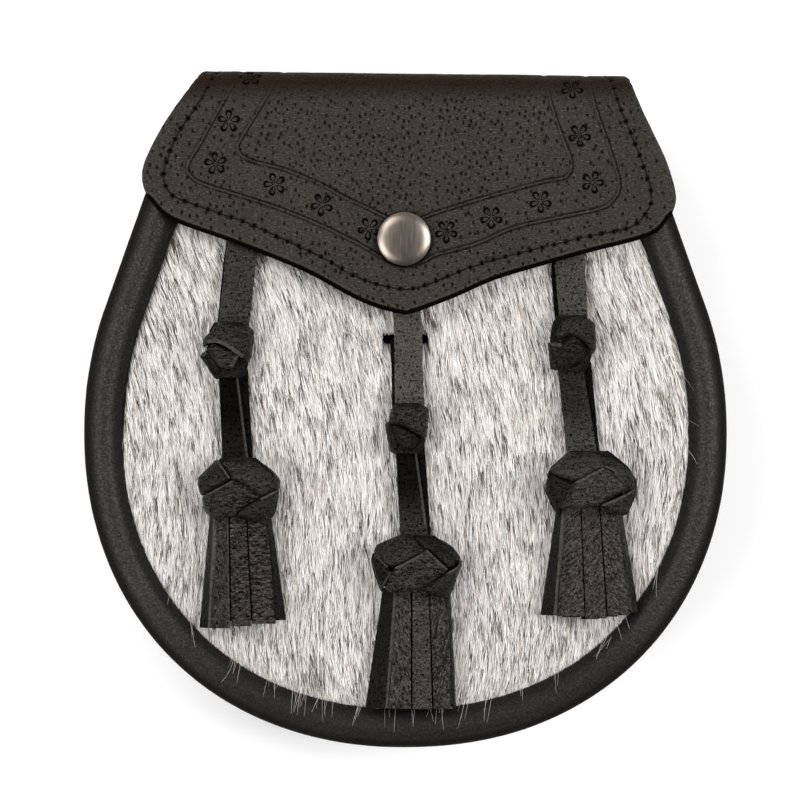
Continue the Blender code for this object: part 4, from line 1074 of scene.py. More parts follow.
def hair_look(colours):
    """Hair read from its own map: across for its colour, along for root to tip."""
    look = Shading("sporran_hair")
    pale = tuple(colours.hair_pale)
    dark = tuple(colours.hair_dark)
    source = look.add("ShaderNodeUVMap", uv_map="strand").outputs["UV"]
    parts = look.add("ShaderNodeSeparateXYZ", {0: source}).outputs
    tone = look.ramp(parts[0], (
        (0.0, dark), (0.08, (0.07, 0.060, 0.052)), (0.18, (0.15, 0.102, 0.066)), (0.34, (0.37, 0.30, 0.25)),
        (0.55, (0.62, 0.55, 0.49)), (0.78, shade_of(pale, 0.92)), (1.0, pale)))
    root = look.ramp(parts[1], ((0.0, 0.45), (0.3, 0.92), (0.5, 1.0)))
    colour_out = look.mix(1.0, tone, root, "MULTIPLY")
    return look.finish(colour_out, None, 0.62, 0.25)


def hide_look(colours):
    look = Shading("sporran_hide")
    dark = tuple(colours.hair_dark)
    place = look.place(stretch=(1.0, 0.25, 1.0))
    streak = look.noise(place, 0.9, 3.0)
    stops = ((0.3, shade_of(dark, 1.5)), (0.55, (0.16, 0.13, 0.11)), (0.75, (0.34, 0.30, 0.27)))
    tone = look.ramp(streak, stops)
    return look.finish(tone, look.math("MULTIPLY", streak, 0.3), 0.8, 0.2)


def nickel_look(colours):
    look = Shading("sporran_nickel")
    colour = tuple(colours.nickel)
    place = look.place(stretch=(1.0, 0.07, 1.0))
    brushed = look.noise(place, 0.35, 3.0)
    tone = look.shades(brushed, colour, (0.3, 0.93), (0.7, 1.06))
    rough = look.ramp(brushed, ((0.3, 0.28), (0.7, 0.36)))
    return look.finish(tone, look.math("MULTIPLY", brushed, 0.003), rough, 0.5, metallic=1.0)


# ---------------------------------------------------------------- pouch outline

def outer_edge():
    """Points round the outer edge, left mouth to right mouth, with inward directions."""
    turn = np.linspace(0.0, pi / 2, 260)
    lower = np.column_stack([
        HALF_WIDTH * np.sin(turn) ** (2 / LOWER_POWER),
        WIDEST_Y - LOWER_DEPTH * np.cos(turn).clip(0.0) ** (2 / LOWER_POWER)])
    lean = np.radians(np.linspace(0.0, SHOULDER_SWEEP, 30))[1:]
    shoulder = np.column_stack([HALF_WIDTH - SHOULDER_RADIUS * (1 - np.cos(lean)),
                                WIDEST_Y + SHOULDER_RADIUS * np.sin(lean)])
    rise = SLANT_TOP_Y - shoulder[-1, 1]
    slant = shoulder[-1] + (-rise * tan(radians(SHOULDER_SWEEP)), rise)
    lean = np.radians(np.linspace(SHOULDER_SWEEP, MOUTH_SWEEP, 20))
    center = slant - MOUTH_RADIUS * np.array([cos(lean[0]), sin(lean[0])])
    mouth = center + MOUTH_RADIUS * np.column_stack([np.cos(lean), np.sin(lean)])
    right = np.vstack([lower, shoulder, mouth])
    edge = resampled(np.vstack([right[:0:-1] * (-1, 1), right]), RIM_STATIONS)
    along = normalised(np.gradient(edge, axis=0))
    return edge, np.column_stack([-along[:, 1], along[:, 0]])


EDGE, INWARD = outer_edge()
EDGE_WAY = way_along(EDGE)


def inset_edge(distance, step=1):
    return (EDGE + INWARD * distance)[::step]


def half_width(distance):
    """Function that gives the half width of the outline, moved inwards, at a level."""
    right = inset_edge(distance)[RIM_STATIONS // 2:]
    return lambda y: np.interp(y, right[:, 1], right[:, 0], left=-1.0)


def wall_path(inset_by, z):
    """Path round the pouch at one inset and height, with its outward directions."""
    path = np.column_stack([inset_edge(inset_by), np.full(len(EDGE), z)])
    return path, np.column_stack([-INWARD, np.zeros(len(EDGE))])


def painted_side_shade(section, core):
    """Painted shade on the front roll: 0 on its top, 1 on its outer shoulder, and less on its sides and at
    the bottom.
    """
    turn = np.arctan2(section[:, 1] - core, section[:, 0] - ROLL_RADIUS)
    turn = np.where(turn < -0.1, pi, turn)
    outward = eased(radians(104.0), radians(142.0), turn) * (1.0 - 0.6 * eased(radians(158.0), pi, turn))
    inward = 0.55 * eased(radians(75.0), radians(48.0), turn)
    lower = 0.4 * eased(-50.0, -88.0, EDGE[:, 1])
    across = np.tile(np.maximum(outward, inward), len(EDGE))
    return {"side": np.maximum(across, np.repeat(lower, len(section)))}


def side_sweep(section, relief=None):
    """A section of (inset, z) rows carried round the outline, with a relief along its own outward side."""
    section = np.asarray(section, float)
    rings = np.empty((len(EDGE), len(section), 3))
    insets = np.tile(section[:, 0], (len(EDGE), 1))
    heights = np.tile(section[:, 1], (len(EDGE), 1))
    if relief is not None:
        out, depth = relief
        insets = insets + out[:, 0] * depth
        heights = heights + out[:, 1] * depth
    rings[..., :2] = EDGE[:, None] + INWARD[:, None] * insets[..., None]
    rings[..., 2] = heights
    return rings.reshape(-1, 3), swept(rings)


def roll_arc(core, start, end, steps=ROLL_STEPS):
    turn = np.radians(np.linspace(start, end, steps + 1))
    return np.column_stack([ROLL_RADIUS * (1 + np.cos(turn)), core + ROLL_RADIUS * np.sin(turn)])


def channel(middle):
    """Groove of the rims' stitches, as (inset, z) rows running down the outer side."""
    wide, narrow = CHANNEL_HALF_WIDTHS
    return [(0.0, middle + wide), (CHANNEL, middle + narrow), (CHANNEL, middle - narrow),
            (0.0, middle - wide)]


def rim_relief(section, core, rolled, seed):
    """Soft dents of the stuffed roll, with fine gathers at its sewn inner side."""
    out = section - (ROLL_RADIUS, core)
    out = normalised(out) * rolled[:, None]
    way = EDGE_WAY[:, None]
    turn = np.arctan2(section[:, 1] - core, section[:, 0] - ROLL_RADIUS)[None, :]
    round_it = turn * ROLL_RADIUS
    depth = 0.07 * noise(way, round_it, 23.0, seed) + 0.03 * noise(way, round_it, 6.0, seed + 1)
    inner = eased(0.25, 1.0, np.cos(turn))
    depth = depth + 0.025 * inner * noise(way, round_it * 0.2, 1.9, seed + 2)
    return out, depth


# ---------------------------------------------------------------- operators

def stitching(name, rows, colours):
    """Add rows of stitches as one piece of thread."""
    points, faces, _ = joined([(row[0], row[1], np.zeros(len(row[0]))) for row in rows])
    piece(name, points, faces, thread_look(colours))


class SPORRAN_OT_rims(bpy.types.Operator):
    """Make the rolled rims and the gusset between them, with their stitching"""

    bl_idname = "sporran.rims"
    bl_label = "Rims and gusset"

    def execute(self, context):
        sizes = context.scene.sporran_sizes
        colours = context.scene.sporran_colours
        leather = smooth_leather("sporran_rim_leather", tuple(colours.rim), speckle=0.4)
        front_core = DEPTH - ROLL_RADIUS
        under = FRONT_FLANGE_TOP - WALL
        arc = roll_arc(front_core, 0, 180)
        head = np.array([(FLANGE_REACH, FRONT_FLANGE_TOP), (2 * ROLL_RADIUS + 0.1, FRONT_FLANGE_TOP)])
        lap_end = front_core - RIM_LAP
        sewn = lap_end + CHANNEL_LIFT
        tail = np.array([*channel(sewn), (0.0, lap_end + 0.4), (0.35, lap_end), (WALL, lap_end),
                         (WALL, front_core), (GUSSET_SLOT, front_core), (GUSSET_SLOT, under),
                         (FLANGE_REACH, under)])
        section = np.vstack([head, arc, tail])
        rolled = np.concatenate([np.zeros(2), np.ones(len(arc)), np.zeros(len(tail))])
        rolled[2] = rolled[1 + len(arc)] = 0.3
        points, faces = side_sweep(section, rim_relief(section, front_core, rolled, 3))
        # the side values paint shade on the roll's outer shoulder, on its inner side and along the bottom
        piece("front_rim_leather", points, faces, leather, ["front_rim"],
              painted_side_shade(section, front_core))

        arc = roll_arc(ROLL_RADIUS, 180, 360)
        above = BACK_FLANGE_BOTTOM + WALL
        lap_end = ROLL_RADIUS + RIM_LAP
        head = np.array([(FLANGE_REACH, above), (GUSSET_SLOT, above), (GUSSET_SLOT, ROLL_RADIUS),
                         (WALL, ROLL_RADIUS), (WALL, lap_end), (0.35, lap_end), (0.0, lap_end - 0.4),
                         *channel(DEPTH - sewn)])
        tail = np.array([(2 * ROLL_RADIUS, BACK_FLANGE_BOTTOM - 1.5),
                         (2 * ROLL_RADIUS + 0.1, BACK_FLANGE_BOTTOM), (FLANGE_REACH, BACK_FLANGE_BOTTOM)])
        section = np.vstack([head, arc, tail])
        rolled = np.concatenate([np.zeros(len(head)), np.ones(len(arc)), np.zeros(len(tail))])
        rolled[len(head)] = rolled[len(head) + len(arc) - 1] = 0.3
        out, depth = rim_relief(section, ROLL_RADIUS, rolled, 23)
        bottom = section[:, 1] < 0.5
        points, faces = side_sweep(section, (out, np.where(bottom[None, :], -0.02, depth)))
        # the side value, given evenly at 0.4, dulls the sheen of the whole back roll
        piece("back_rim_leather", points, faces, leather, ["back_rim"],
              {"side": np.full(len(points), 0.4)})

        levels = np.linspace(ROLL_RADIUS + GAP, DEPTH - ROLL_RADIUS - GAP, 15)
        drawn_in = WAIST * np.sin(pi * np.clip((levels - 10.0) / 18.0, 0.0, 1.0))
        outer = np.column_stack([WALL + GAP + drawn_in, levels])
        inner = outer[::-1] + (WALL, 0.0)
        section = np.vstack([outer, inner])
        out = np.zeros((len(section), 2))
        out[:, 0] = -np.tile(np.sin(pi * np.linspace(0, 1, len(levels))), 2)
        way = EDGE_WAY[:, None]
        depth = 0.30 * noise(way, section[None, :, 1] * 0.35, 6.0, 41)
        depth = depth + 0.35 * noise(way, section[None, :, 1] * 0.5, 19.0, 42)
        points, faces = side_sweep(section, (out, depth))
        soft = smooth_leather("sporran_gusset_leather", tuple(colours.rim), 1.0, 0.16, 0.22, (0.48, 0.66))
        # the side value, given evenly at 0.3, dulls the sheen of the whole gusset
        piece("gusset_leather", points, faces, soft, ["gusset"],
              {"side": np.full(len(points), 0.3)})

        rows = []
        for z in (sewn, DEPTH - sewn):
            path, lift = wall_path(CHANNEL, z)
            rows.append(stitches(path[2:-2], lift[2:-2], sizes.stitch_pitch / MM,
                                 sizes.thread_radius / MM, 2.0))
        stitching("rim_stitching", rows, colours)
        return {"FINISHED"}


class SPORRAN_OT_back(bpy.types.Operator):
    """Make the back panel and the belt loops"""

    bl_idname = "sporran.back"
    bl_label = "Back and belt loops"

    def execute(self, context):
        sizes = context.scene.sporran_sizes
        colours = context.scene.sporran_colours
        pitch = sizes.stitch_pitch / MM
        radius = sizes.thread_radius / MM
        leather = smooth_leather("sporran_back_leather", shade_of(tuple(colours.rim), 1.15), 1.3, 0.10, 0.35)
        low, high = BACK_PANEL_Z
        outline = inset_edge(PANEL_INSET, 4)

        def underside(x, y):
            apart = nearest(np.column_stack([x, y]), outline)[0]
            swell = 0.35 * eased(2.0, 16.0, apart) + 0.10 * noise(x, y, 14.0, 61)
            return low - swell * eased(0.3, 4.0, apart)

        points, faces = slab(outline, [], high, underside, 2.2)
        piece("back_panel_leather", points, faces, leather, ["back_panel"])

        rows = []
        path = np.column_stack([inset_edge(PANEL_INSET + 3.0), np.full(len(EDGE), low - 0.10)])
        rows.append(stitches(path, (0, 0, -1), pitch, radius, 1.0))
        for side in (-1, 1):
            x = side * LOOP_X
            path = smooth_curve([(x, y, z) for y, z in LOOP_PATH], 60)
            half = np.array([LOOP_WIDTH / 2, 0.0, 0.0])
            down = normalised(np.cross(np.gradient(path, axis=0), (1.0, 0.0, 0.0)))
            down = down * np.sign(-down[:, 2:3] - 1e-9)
            middle = path + down * LOOP_THICKNESS / 2
            rib = strap(middle - half, middle + half, LOOP_THICKNESS, (True, True), 0.5, 11, 0.05, 5 + side)
            points, faces, values, maps = joined_straps([rib], [STRAP_TEXTURE])
            points[:, 2] = np.maximum(points[:, 2], 0.35)
            name = "left" if side < 0 else "right"
            look = tassel_leather("sporran_loop_leather", shade_of(tuple(colours.rim), 1.2),
                                  shade_of(tuple(colours.cut_edge), 0.6), 3.4)
            piece(f"hanger_loop_{name}_leather", points, faces, look,
                  [f"hanger_loop_{name}"], values, maps)
            for top, bottom in ((48.6, 45.0), (19.0, 15.4)):
                z = 5.9 - LOOP_THICKNESS / 2 - 0.05
                corners = ((-6.2, top), (6.2, top), (6.2, bottom), (-6.2, bottom), (-6.2, top))
                box = [(x + across, y, z) for across, y in corners]
                rows.append(stitches(resampled(box, 80), (0, 0, -1), pitch * 0.85, radius))
        stitching("back_stitching", rows, colours)
        return {"FINISHED"}


def hair_lean(x, y):
    """Lean of the pile from straight down, in radians, to the right as it runs down."""
    lean = 15.0 * eased(-30.0, 55.0, y) + 6.0 * eased(25.0, 75.0, np.abs(x)) * eased(-10.0, 40.0, y)
    lean = lean - 7.0 * eased(-55.0, -85.0, y) * np.sign(x)
    lean = lean + 6.0 * noise(x, y, 24.0, 81) + 4.0 * noise(x, y, 9.0, 82)
    return np.radians(lean)


def hair_clumps(x, y, size, seed):
    """Middle of the lock that each root belongs to, and a random number for each lock."""
    column = np.floor(x / size)
    row = np.floor(y / (size * 1.6))
    best = np.full(len(x), 1e9)
    middle = np.zeros((len(x), 2))
    own = np.zeros(len(x))
    for right in (-1, 0, 1):
        for up in (-1, 0, 1):
            c = column + right
            r = row + up
            spot_x = (c + 0.5 + 0.45 * noise(c, r, 1.0, seed)) * size
            spot_y = (r + 0.5 + 0.45 * noise(c, r, 1.0, seed + 1)) * size * 1.6
            apart = (x - spot_x) ** 2 + ((y - spot_y) / 1.6) ** 2
            closer = apart < best
            best[closer] = apart[closer]
            middle[closer, 0] = spot_x[closer]
            middle[closer, 1] = spot_y[closer]
            own[closer] = noise(c, r, 1.0, seed + 2)[closer]
    return middle, own


def hair_roots(spacing, draw):
    """Jittered roots over the fur panel, thinned where the flap hides them."""
    columns = np.arange(-82.0, 82.0, spacing)
    rows = np.arange(-86.0, 78.0, spacing)
    x, y = np.meshgrid(columns, rows)
    x = (x + draw.uniform(-0.5, 0.5, x.shape) * spacing).ravel()
    y = (y + draw.uniform(-0.5, 0.5, y.shape) * spacing).ravel()
    keep = np.abs(x) < half_width(PANEL_INSET - 0.2)(y)
    for slot_x, slot_y in SLOTS:
        along = np.maximum(np.abs(x - slot_x) - (SLOT_LENGTH - SLOT_HEIGHT) / 2, 0.0)
        keep &= np.hypot(along, y - slot_y) > SLOT_HEIGHT / 2 - 0.1
    keep &= np.hypot(x - SNAP_CENTER[0], y - SNAP_CENTER[1]) > CLIPPED_RADIUS
    lower = np.array(FLAP_LOWER_LEFT[:-1] + FLAP_LOWER_RIGHT)
    hidden = y > np.interp(x, lower[:, 0], lower[:, 1]) + 12.0
    keep &= ~hidden | (draw.random(len(x)) < 0.22)
    return x[keep], y[keep]


def hair_ribbons(root, lean, length, lift, width, roll, shade, curl):
    """Flat tapering ribbons that rise from their roots and lie down: points, faces and map."""
    share = np.array([0.0, 0.42, 1.0])
    rise = np.array([0.0, 0.9, 1.0])
    count = len(lean)
    bend = curl[:, None] * share ** 2
    angle = lean[:, None] + bend
    step = np.diff(share, prepend=0.0) * length[:, None]
    x = root[:, :1] + np.cumsum(np.sin(angle) * step, axis=1)
    y = root[:, 1:2] - np.cumsum(np.cos(angle) * step, axis=1)
    z = root[:, 2:3] + lift[:, None] * rise
    side = np.stack([np.cos(angle) * np.cos(roll)[:, None], np.sin(angle) * np.cos(roll)[:, None],
                     np.tile(np.sin(roll)[:, None], (1, 3))], axis=-1)
    half = width[:, None] * np.array([0.45, 0.5, 0.0])
    middle = np.stack([x, y, z], axis=-1)
    left = middle - side * half[..., None]
    right = middle + side * half[..., None]
    lower = np.stack([left[:, :2], right[:, :2]], axis=2).reshape(count, 4, 3)
    points = np.concatenate([lower, middle[:, 2:]], axis=1)
    start = 5 * np.arange(count)[:, None]
    quads = start + np.array([0, 1, 3, 2])
    tips = start + np.array([2, 3, 4])
    along = np.array([0.0, 0.0, 0.42, 0.42, 1.0])
    flat = np.stack([np.tile(shade[:, None], (1, 5)), np.tile(along, (count, 1))], axis=-1)
    return points.reshape(-1, 3), quads, tips, flat.reshape(-1, 2)


class SPORRAN_OT_fur(bpy.types.Operator):
    """Make the hide front and its lying pile"""

    bl_idname = "sporran.fur"
    bl_label = "Fur front"

    def execute(self, context):
        sizes = context.scene.sporran_sizes
        colours = context.scene.sporran_colours
        draw = np.random.default_rng(7)

        holes = []
        for slot_x, slot_y in SLOTS:
            turn = np.radians(np.linspace(-90, 90, 9))
            straight = (SLOT_LENGTH - SLOT_HEIGHT) / 2
            end = np.column_stack([straight + SLOT_HEIGHT / 2 * np.cos(turn), SLOT_HEIGHT / 2 * np.sin(turn)])
            holes.append(np.vstack([end, -end]) + (slot_x, slot_y))
        points, faces = slab(inset_edge(PANEL_INSET - 0.15, 4), holes, HIDE_TOP, FUR_UNDERSIDE, 4.0)
        piece("fur_hide", points, faces, hide_look(colours), ["fur_panel"])

        x, y = hair_roots(sizes.hair_spacing / MM, draw)
        count = len(x)
        locks, lock_own = hair_clumps(x, y, 1.8, 91)
        _, wisp_own = hair_clumps(x, y, 0.50, 95)
        lean = hair_lean(x, y) + radians(4.0) * lock_own + draw.normal(0.0, radians(4.5), count)
        length = sizes.hair_length / MM * (1.0 + 0.18 * draw.normal(0.0, 1.0, count)).clip(0.45, 1.5)
        beside = (locks[:, 0] - x) * np.cos(lean) + (locks[:, 1] - y) * np.sin(lean)
        curl = np.arctan(beside * 0.30 / length) + draw.normal(0.0, radians(5.0), count)

        inside_width = half_width(PANEL_INSET - 0.55)
        reach = np.ones(count)
        for part in (1.0, 0.85, 0.7, 0.55, 0.4, 0.25, 0.12):
            tip_x = x + np.sin(lean + curl * 0.6) * length * part
            tip_y = y - np.cos(lean + curl * 0.6) * length * part
            blocked = np.abs(tip_x) > inside_width(tip_y)
            for slot_x, slot_y in SLOTS:
                over = (np.abs(tip_x - slot_x) < SLOT_LENGTH / 2) & (tip_y < slot_y + SLOT_HEIGHT / 2 - 0.1)
                blocked |= over & (y > slot_y) & (tip_y > slot_y - 12.0)
            reach = np.where(blocked & (reach >= part), part - 0.13, reach)
        reach = reach.clip(0.06, 1.0)
        length = length * reach

        patch = 0.5 * noise(x, y, 17.0, 101) + 0.3 * noise(x, y, 7.0, 102)
        for spot_x, spot_y, wide, strength in FUR_PATCHES:
            patch = patch + strength * bell(np.hypot(x - spot_x, y - spot_y), wide)
        shade = 0.915 + 0.05 * lock_own + 0.11 * draw.normal(0.0, 1.0, count) - 0.10 * eased(0.2, 0.9, patch)
        shade = shade - 0.07 * eased(-30.0, -65.0, y) + 0.03 * eased(40.0, 75.0, x)
        grey = draw.random(count) < 0.20
        shade = np.where(grey, draw.uniform(0.30, 0.62, count), shade)
        dark = (wisp_own > 0.80 - 0.2 * eased(0.3, 1.0, patch)) & (draw.random(count) < 0.92)
        dark |= draw.random(count) < 0.035
        shade = np.where(dark, draw.uniform(0.0, 0.14, count), shade)
        brown = draw.random(count) < 0.4 * eased(0.5, 1.1, patch) + 0.5 * eased(1.2, 1.9, patch)
        browned = draw.uniform(0.12, 0.36, count) - 0.10 * eased(1.0, 1.8, patch)
        shade = np.where(brown, browned, shade).clip(0.02, 0.98)
        lift = (1.05 + 0.25 * lock_own + 0.15 * dark + 0.28 * draw.normal(0.0, 1.0, count)).clip(0.35, 1.75)
        lift = lift * (0.55 + 0.45 * reach)
        root = np.column_stack([x, y, np.full(count, HIDE_TOP - 0.05)])
        width = sizes.hair_width / MM * (1.0 + 0.2 * draw.normal(0.0, 1.0, count)).clip(0.5, 1.6)
        roll = draw.uniform(-0.7, 0.7, count)
        material = hair_look(colours)
        order = np.argsort(y + 2.0 * draw.random(count))
        for number, share in enumerate(np.array_split(order, 5)):
            points, quads, tips, flat = hair_ribbons(
                root[share], lean[share], length[share], lift[share], width[share], roll[share],
                shade[share], curl[share])
            faces = quads.tolist() + tips.tolist()
            piece(f"fur_pile_{number + 1}", points, faces, material,
                  maps={"strand": flat, "OFBake": flat}, sharp=0.0)

        self.stray_hairs(draw, material)
        return {"FINISHED"}

    def stray_hairs(self, draw, material):
        """Single hairs that have come over the rim, mostly along the bottom."""
        spots = (                 # x at the rim, number of hairs, lean in degrees
            (-59.5, 3, 2.0), (-48.0, 7, -12.0), (-38.0, 5, -8.0), (-30.5, 10, -6.0), (-23.0, 7, -10.0),
            (-14.0, 5, -12.0), (-4.0, 3, -6.0), (3.0, 3, 2.0), (10.0, 6, -6.0), (16.0, 3, -12.0),
            (22.5, 3, -10.0), (33.0, 2, 0.0), (42.0, 3, -4.0), (54.0, 5, -28.0), (61.0, 4, 12.0),
            (-66.0, 2, 4.0), (70.0, 2, -20.0),
        )
        rows = []
        border = half_width(PANEL_INSET)
        levels = np.linspace(-84.4, -8.0, 400)
        widths = border(levels)
        for spot_x, count, lean in spots:
            level = levels[np.argmin(np.abs(widths - abs(spot_x)))]
            for _ in range(count):
                rows.append((spot_x + draw.normal(0.0, 1.6), level, radians(lean) + draw.normal(0.0, 0.16)))
        for level in (10.5, -3.0, -11.0):
            spot_y = level + draw.normal(0.0, 0.8)
            rows.append((float(border(level)), spot_y, radians(48.0) + draw.normal(0.0, 0.12)))
        points, faces, flat = [], [], []
        for spot_x, spot_y, lean in rows:
            length = draw.uniform(4.0, 9.5)
            curl = draw.normal(0.0, 0.22)
            share = np.linspace(0.0, 1.0, 9)
            angle = lean + curl * share
            way_x = spot_x - np.sin(lean) * 4.0 + np.cumsum(np.sin(angle)) * length / 8
            way_y = spot_y + np.cos(lean) * 3.4 - np.cumsum(np.cos(angle)) * length / 8
            near = nearest(np.column_stack([way_x, way_y]), EDGE)[0]
            roll = np.sqrt(np.clip(ROLL_RADIUS ** 2 - (near - ROLL_RADIUS) ** 2, 0.0, None))
            surface = np.where(near < 2 * ROLL_RADIUS, DEPTH - ROLL_RADIUS + roll, HIDE_TOP + 1.2)
            height = np.maximum(surface + 0.45, HIDE_TOP + 1.4)
            height[0] = HIDE_TOP + 0.6
            smoothed = np.convolve(np.pad(height, 1, mode="edge"), [0.25, 0.5, 0.25], "valid")
            height = np.maximum(height, smoothed)
            half = 0.045 * np.sqrt(1.0 - 0.9 * share)
            normal = np.column_stack([np.cos(angle), np.sin(angle), np.zeros(9)])
            middle = np.column_stack([way_x, way_y, height])
            start = len(points) * 27
            ring = np.stack([middle - normal * half[:, None], middle + normal * half[:, None],
                             middle + np.array([0.0, 0.0, 1.0]) * half[:, None] * 1.4], axis=1)
            points.append(ring.reshape(-1, 3))
            faces.extend([[start + corner for corner in face] for face in swept(ring)])
            tone = draw.uniform(0.45, 0.95)
            flat.append(np.column_stack([np.full(27, tone), np.repeat(0.4 + 0.6 * share, 3)]))
        flat = np.vstack(flat)
        piece("fur_stray_hairs", np.vstack(points), faces, material,
              maps={"strand": flat, "OFBake": flat}, sharp=0.0)


def flap_front_grid():
    """Front face of the flap as (x, y), from its lower edge up to the fold."""
    lower = np.vstack([smooth_curve(FLAP_LOWER_LEFT, FLAP_HALF_COLUMNS)[:-1],
                       smooth_curve(FLAP_LOWER_RIGHT, FLAP_HALF_COLUMNS)])
    left = smooth_curve(FLAP_LEFT_SIDE, FLAP_FRONT_ROWS)
    right = smooth_curve(FLAP_RIGHT_SIDE, FLAP_FRONT_ROWS)
    across = np.linspace(0.0, 1.0, len(lower))[None, :, None]
    up = np.linspace(0.0, 1.0, FLAP_FRONT_ROWS + 1)[:, None, None]
    above = left[-1] * (1 - across) + right[-1] * across
    below = lower[None]
    sides = left[:, None] * (1 - across) + right[:, None] * across
    corners = (lower[0] * (1 - across) + lower[-1] * across) * (1 - up) + above * up
    return below * (1 - up) + above * up + sides - corners


def fold_rows():
    """Flap behind its front: part of the way, y past the fold, z and length from the fold."""
    back_y = FOLD_RADIUS - BACK_FOLD_RADIUS
    low_z = TAIL_Z + BACK_FOLD_RADIUS
    high_z = FLAP_TOP - FOLD_RADIUS
    rows = []
    for turn in np.linspace(0.0, pi / 2, 19)[1:]:
        rows.append((0.18 * turn / (pi / 2), FOLD_RADIUS * sin(turn), high_z + FOLD_RADIUS * cos(turn)))
    for part in np.linspace(0.0, 1.0, 15)[1:]:
        rows.append((0.18 + 0.32 * part, FOLD_RADIUS, high_z + (low_z - high_z) * part))
    for turn in np.linspace(0.0, pi / 2, 13)[1:]:
        rows.append((0.50 + 0.18 * turn / (pi / 2), back_y + BACK_FOLD_RADIUS * cos(turn),
                     low_z - BACK_FOLD_RADIUS * sin(turn)))
    end_y = TAIL_END_Y - (FOLD_OUTER_Y - FOLD_RADIUS)
    for part in np.linspace(0.0, 1.0, 27)[1:]:
        rows.append((0.68 + 0.32 * part, back_y + (end_y - back_y) * part, TAIL_Z))
    rows = np.array(rows)
    first = np.array([0.0, FLAP_TOP])
    steps = np.linalg.norm(np.diff(np.vstack([first, rows[:, 1:3]]), axis=0), axis=1)
    return np.column_stack([rows, np.cumsum(steps)])


def fold_start(x):
    return FOLD_OUTER_Y - FOLD_RADIUS - x * tan(radians(FOLD_TILT))


def flap_surface():
    """Outer face of the whole flap: points, laid-flat coordinates and outward directions."""
    front = flap_front_grid()
    columns = front.shape[1]
    edges = np.array(FLAP_BACK_EDGES)
    rows = fold_rows()
    share = np.linspace(0.0, 1.0, columns)
    shape = np.empty((len(front) + len(rows), columns, 3))
    flat = np.empty((len(front) + len(rows), columns, 2))
    shape[:len(front), :, :2] = front
    shape[:len(front), :, 2] = FLAP_TOP
    flat[:len(front)] = front
    for number, (way, past, z, length) in enumerate(rows):
        left = np.interp(way, edges[:, 0], edges[:, 1])
        right = np.interp(way, edges[:, 0], edges[:, 2])
        x = left + (right - left) * share
        row = len(front) + number
        shape[row] = np.column_stack([x, fold_start(x) + past, np.full(columns, z)])
        flat[row] = np.column_stack([x, fold_start(x) + length])
    outward = normalised(np.cross(np.gradient(shape, axis=1), np.gradient(shape, axis=0)))
    return shape, flat, outward


def on_flap(path, shape, flat, outward):
    """Carry a laid-flat path onto the flap: points and outward directions."""
    index = nearest(path, flat.reshape(-1, 2))[1]
    return shape.reshape(-1, 3)[index], outward.reshape(-1, 3)[index]


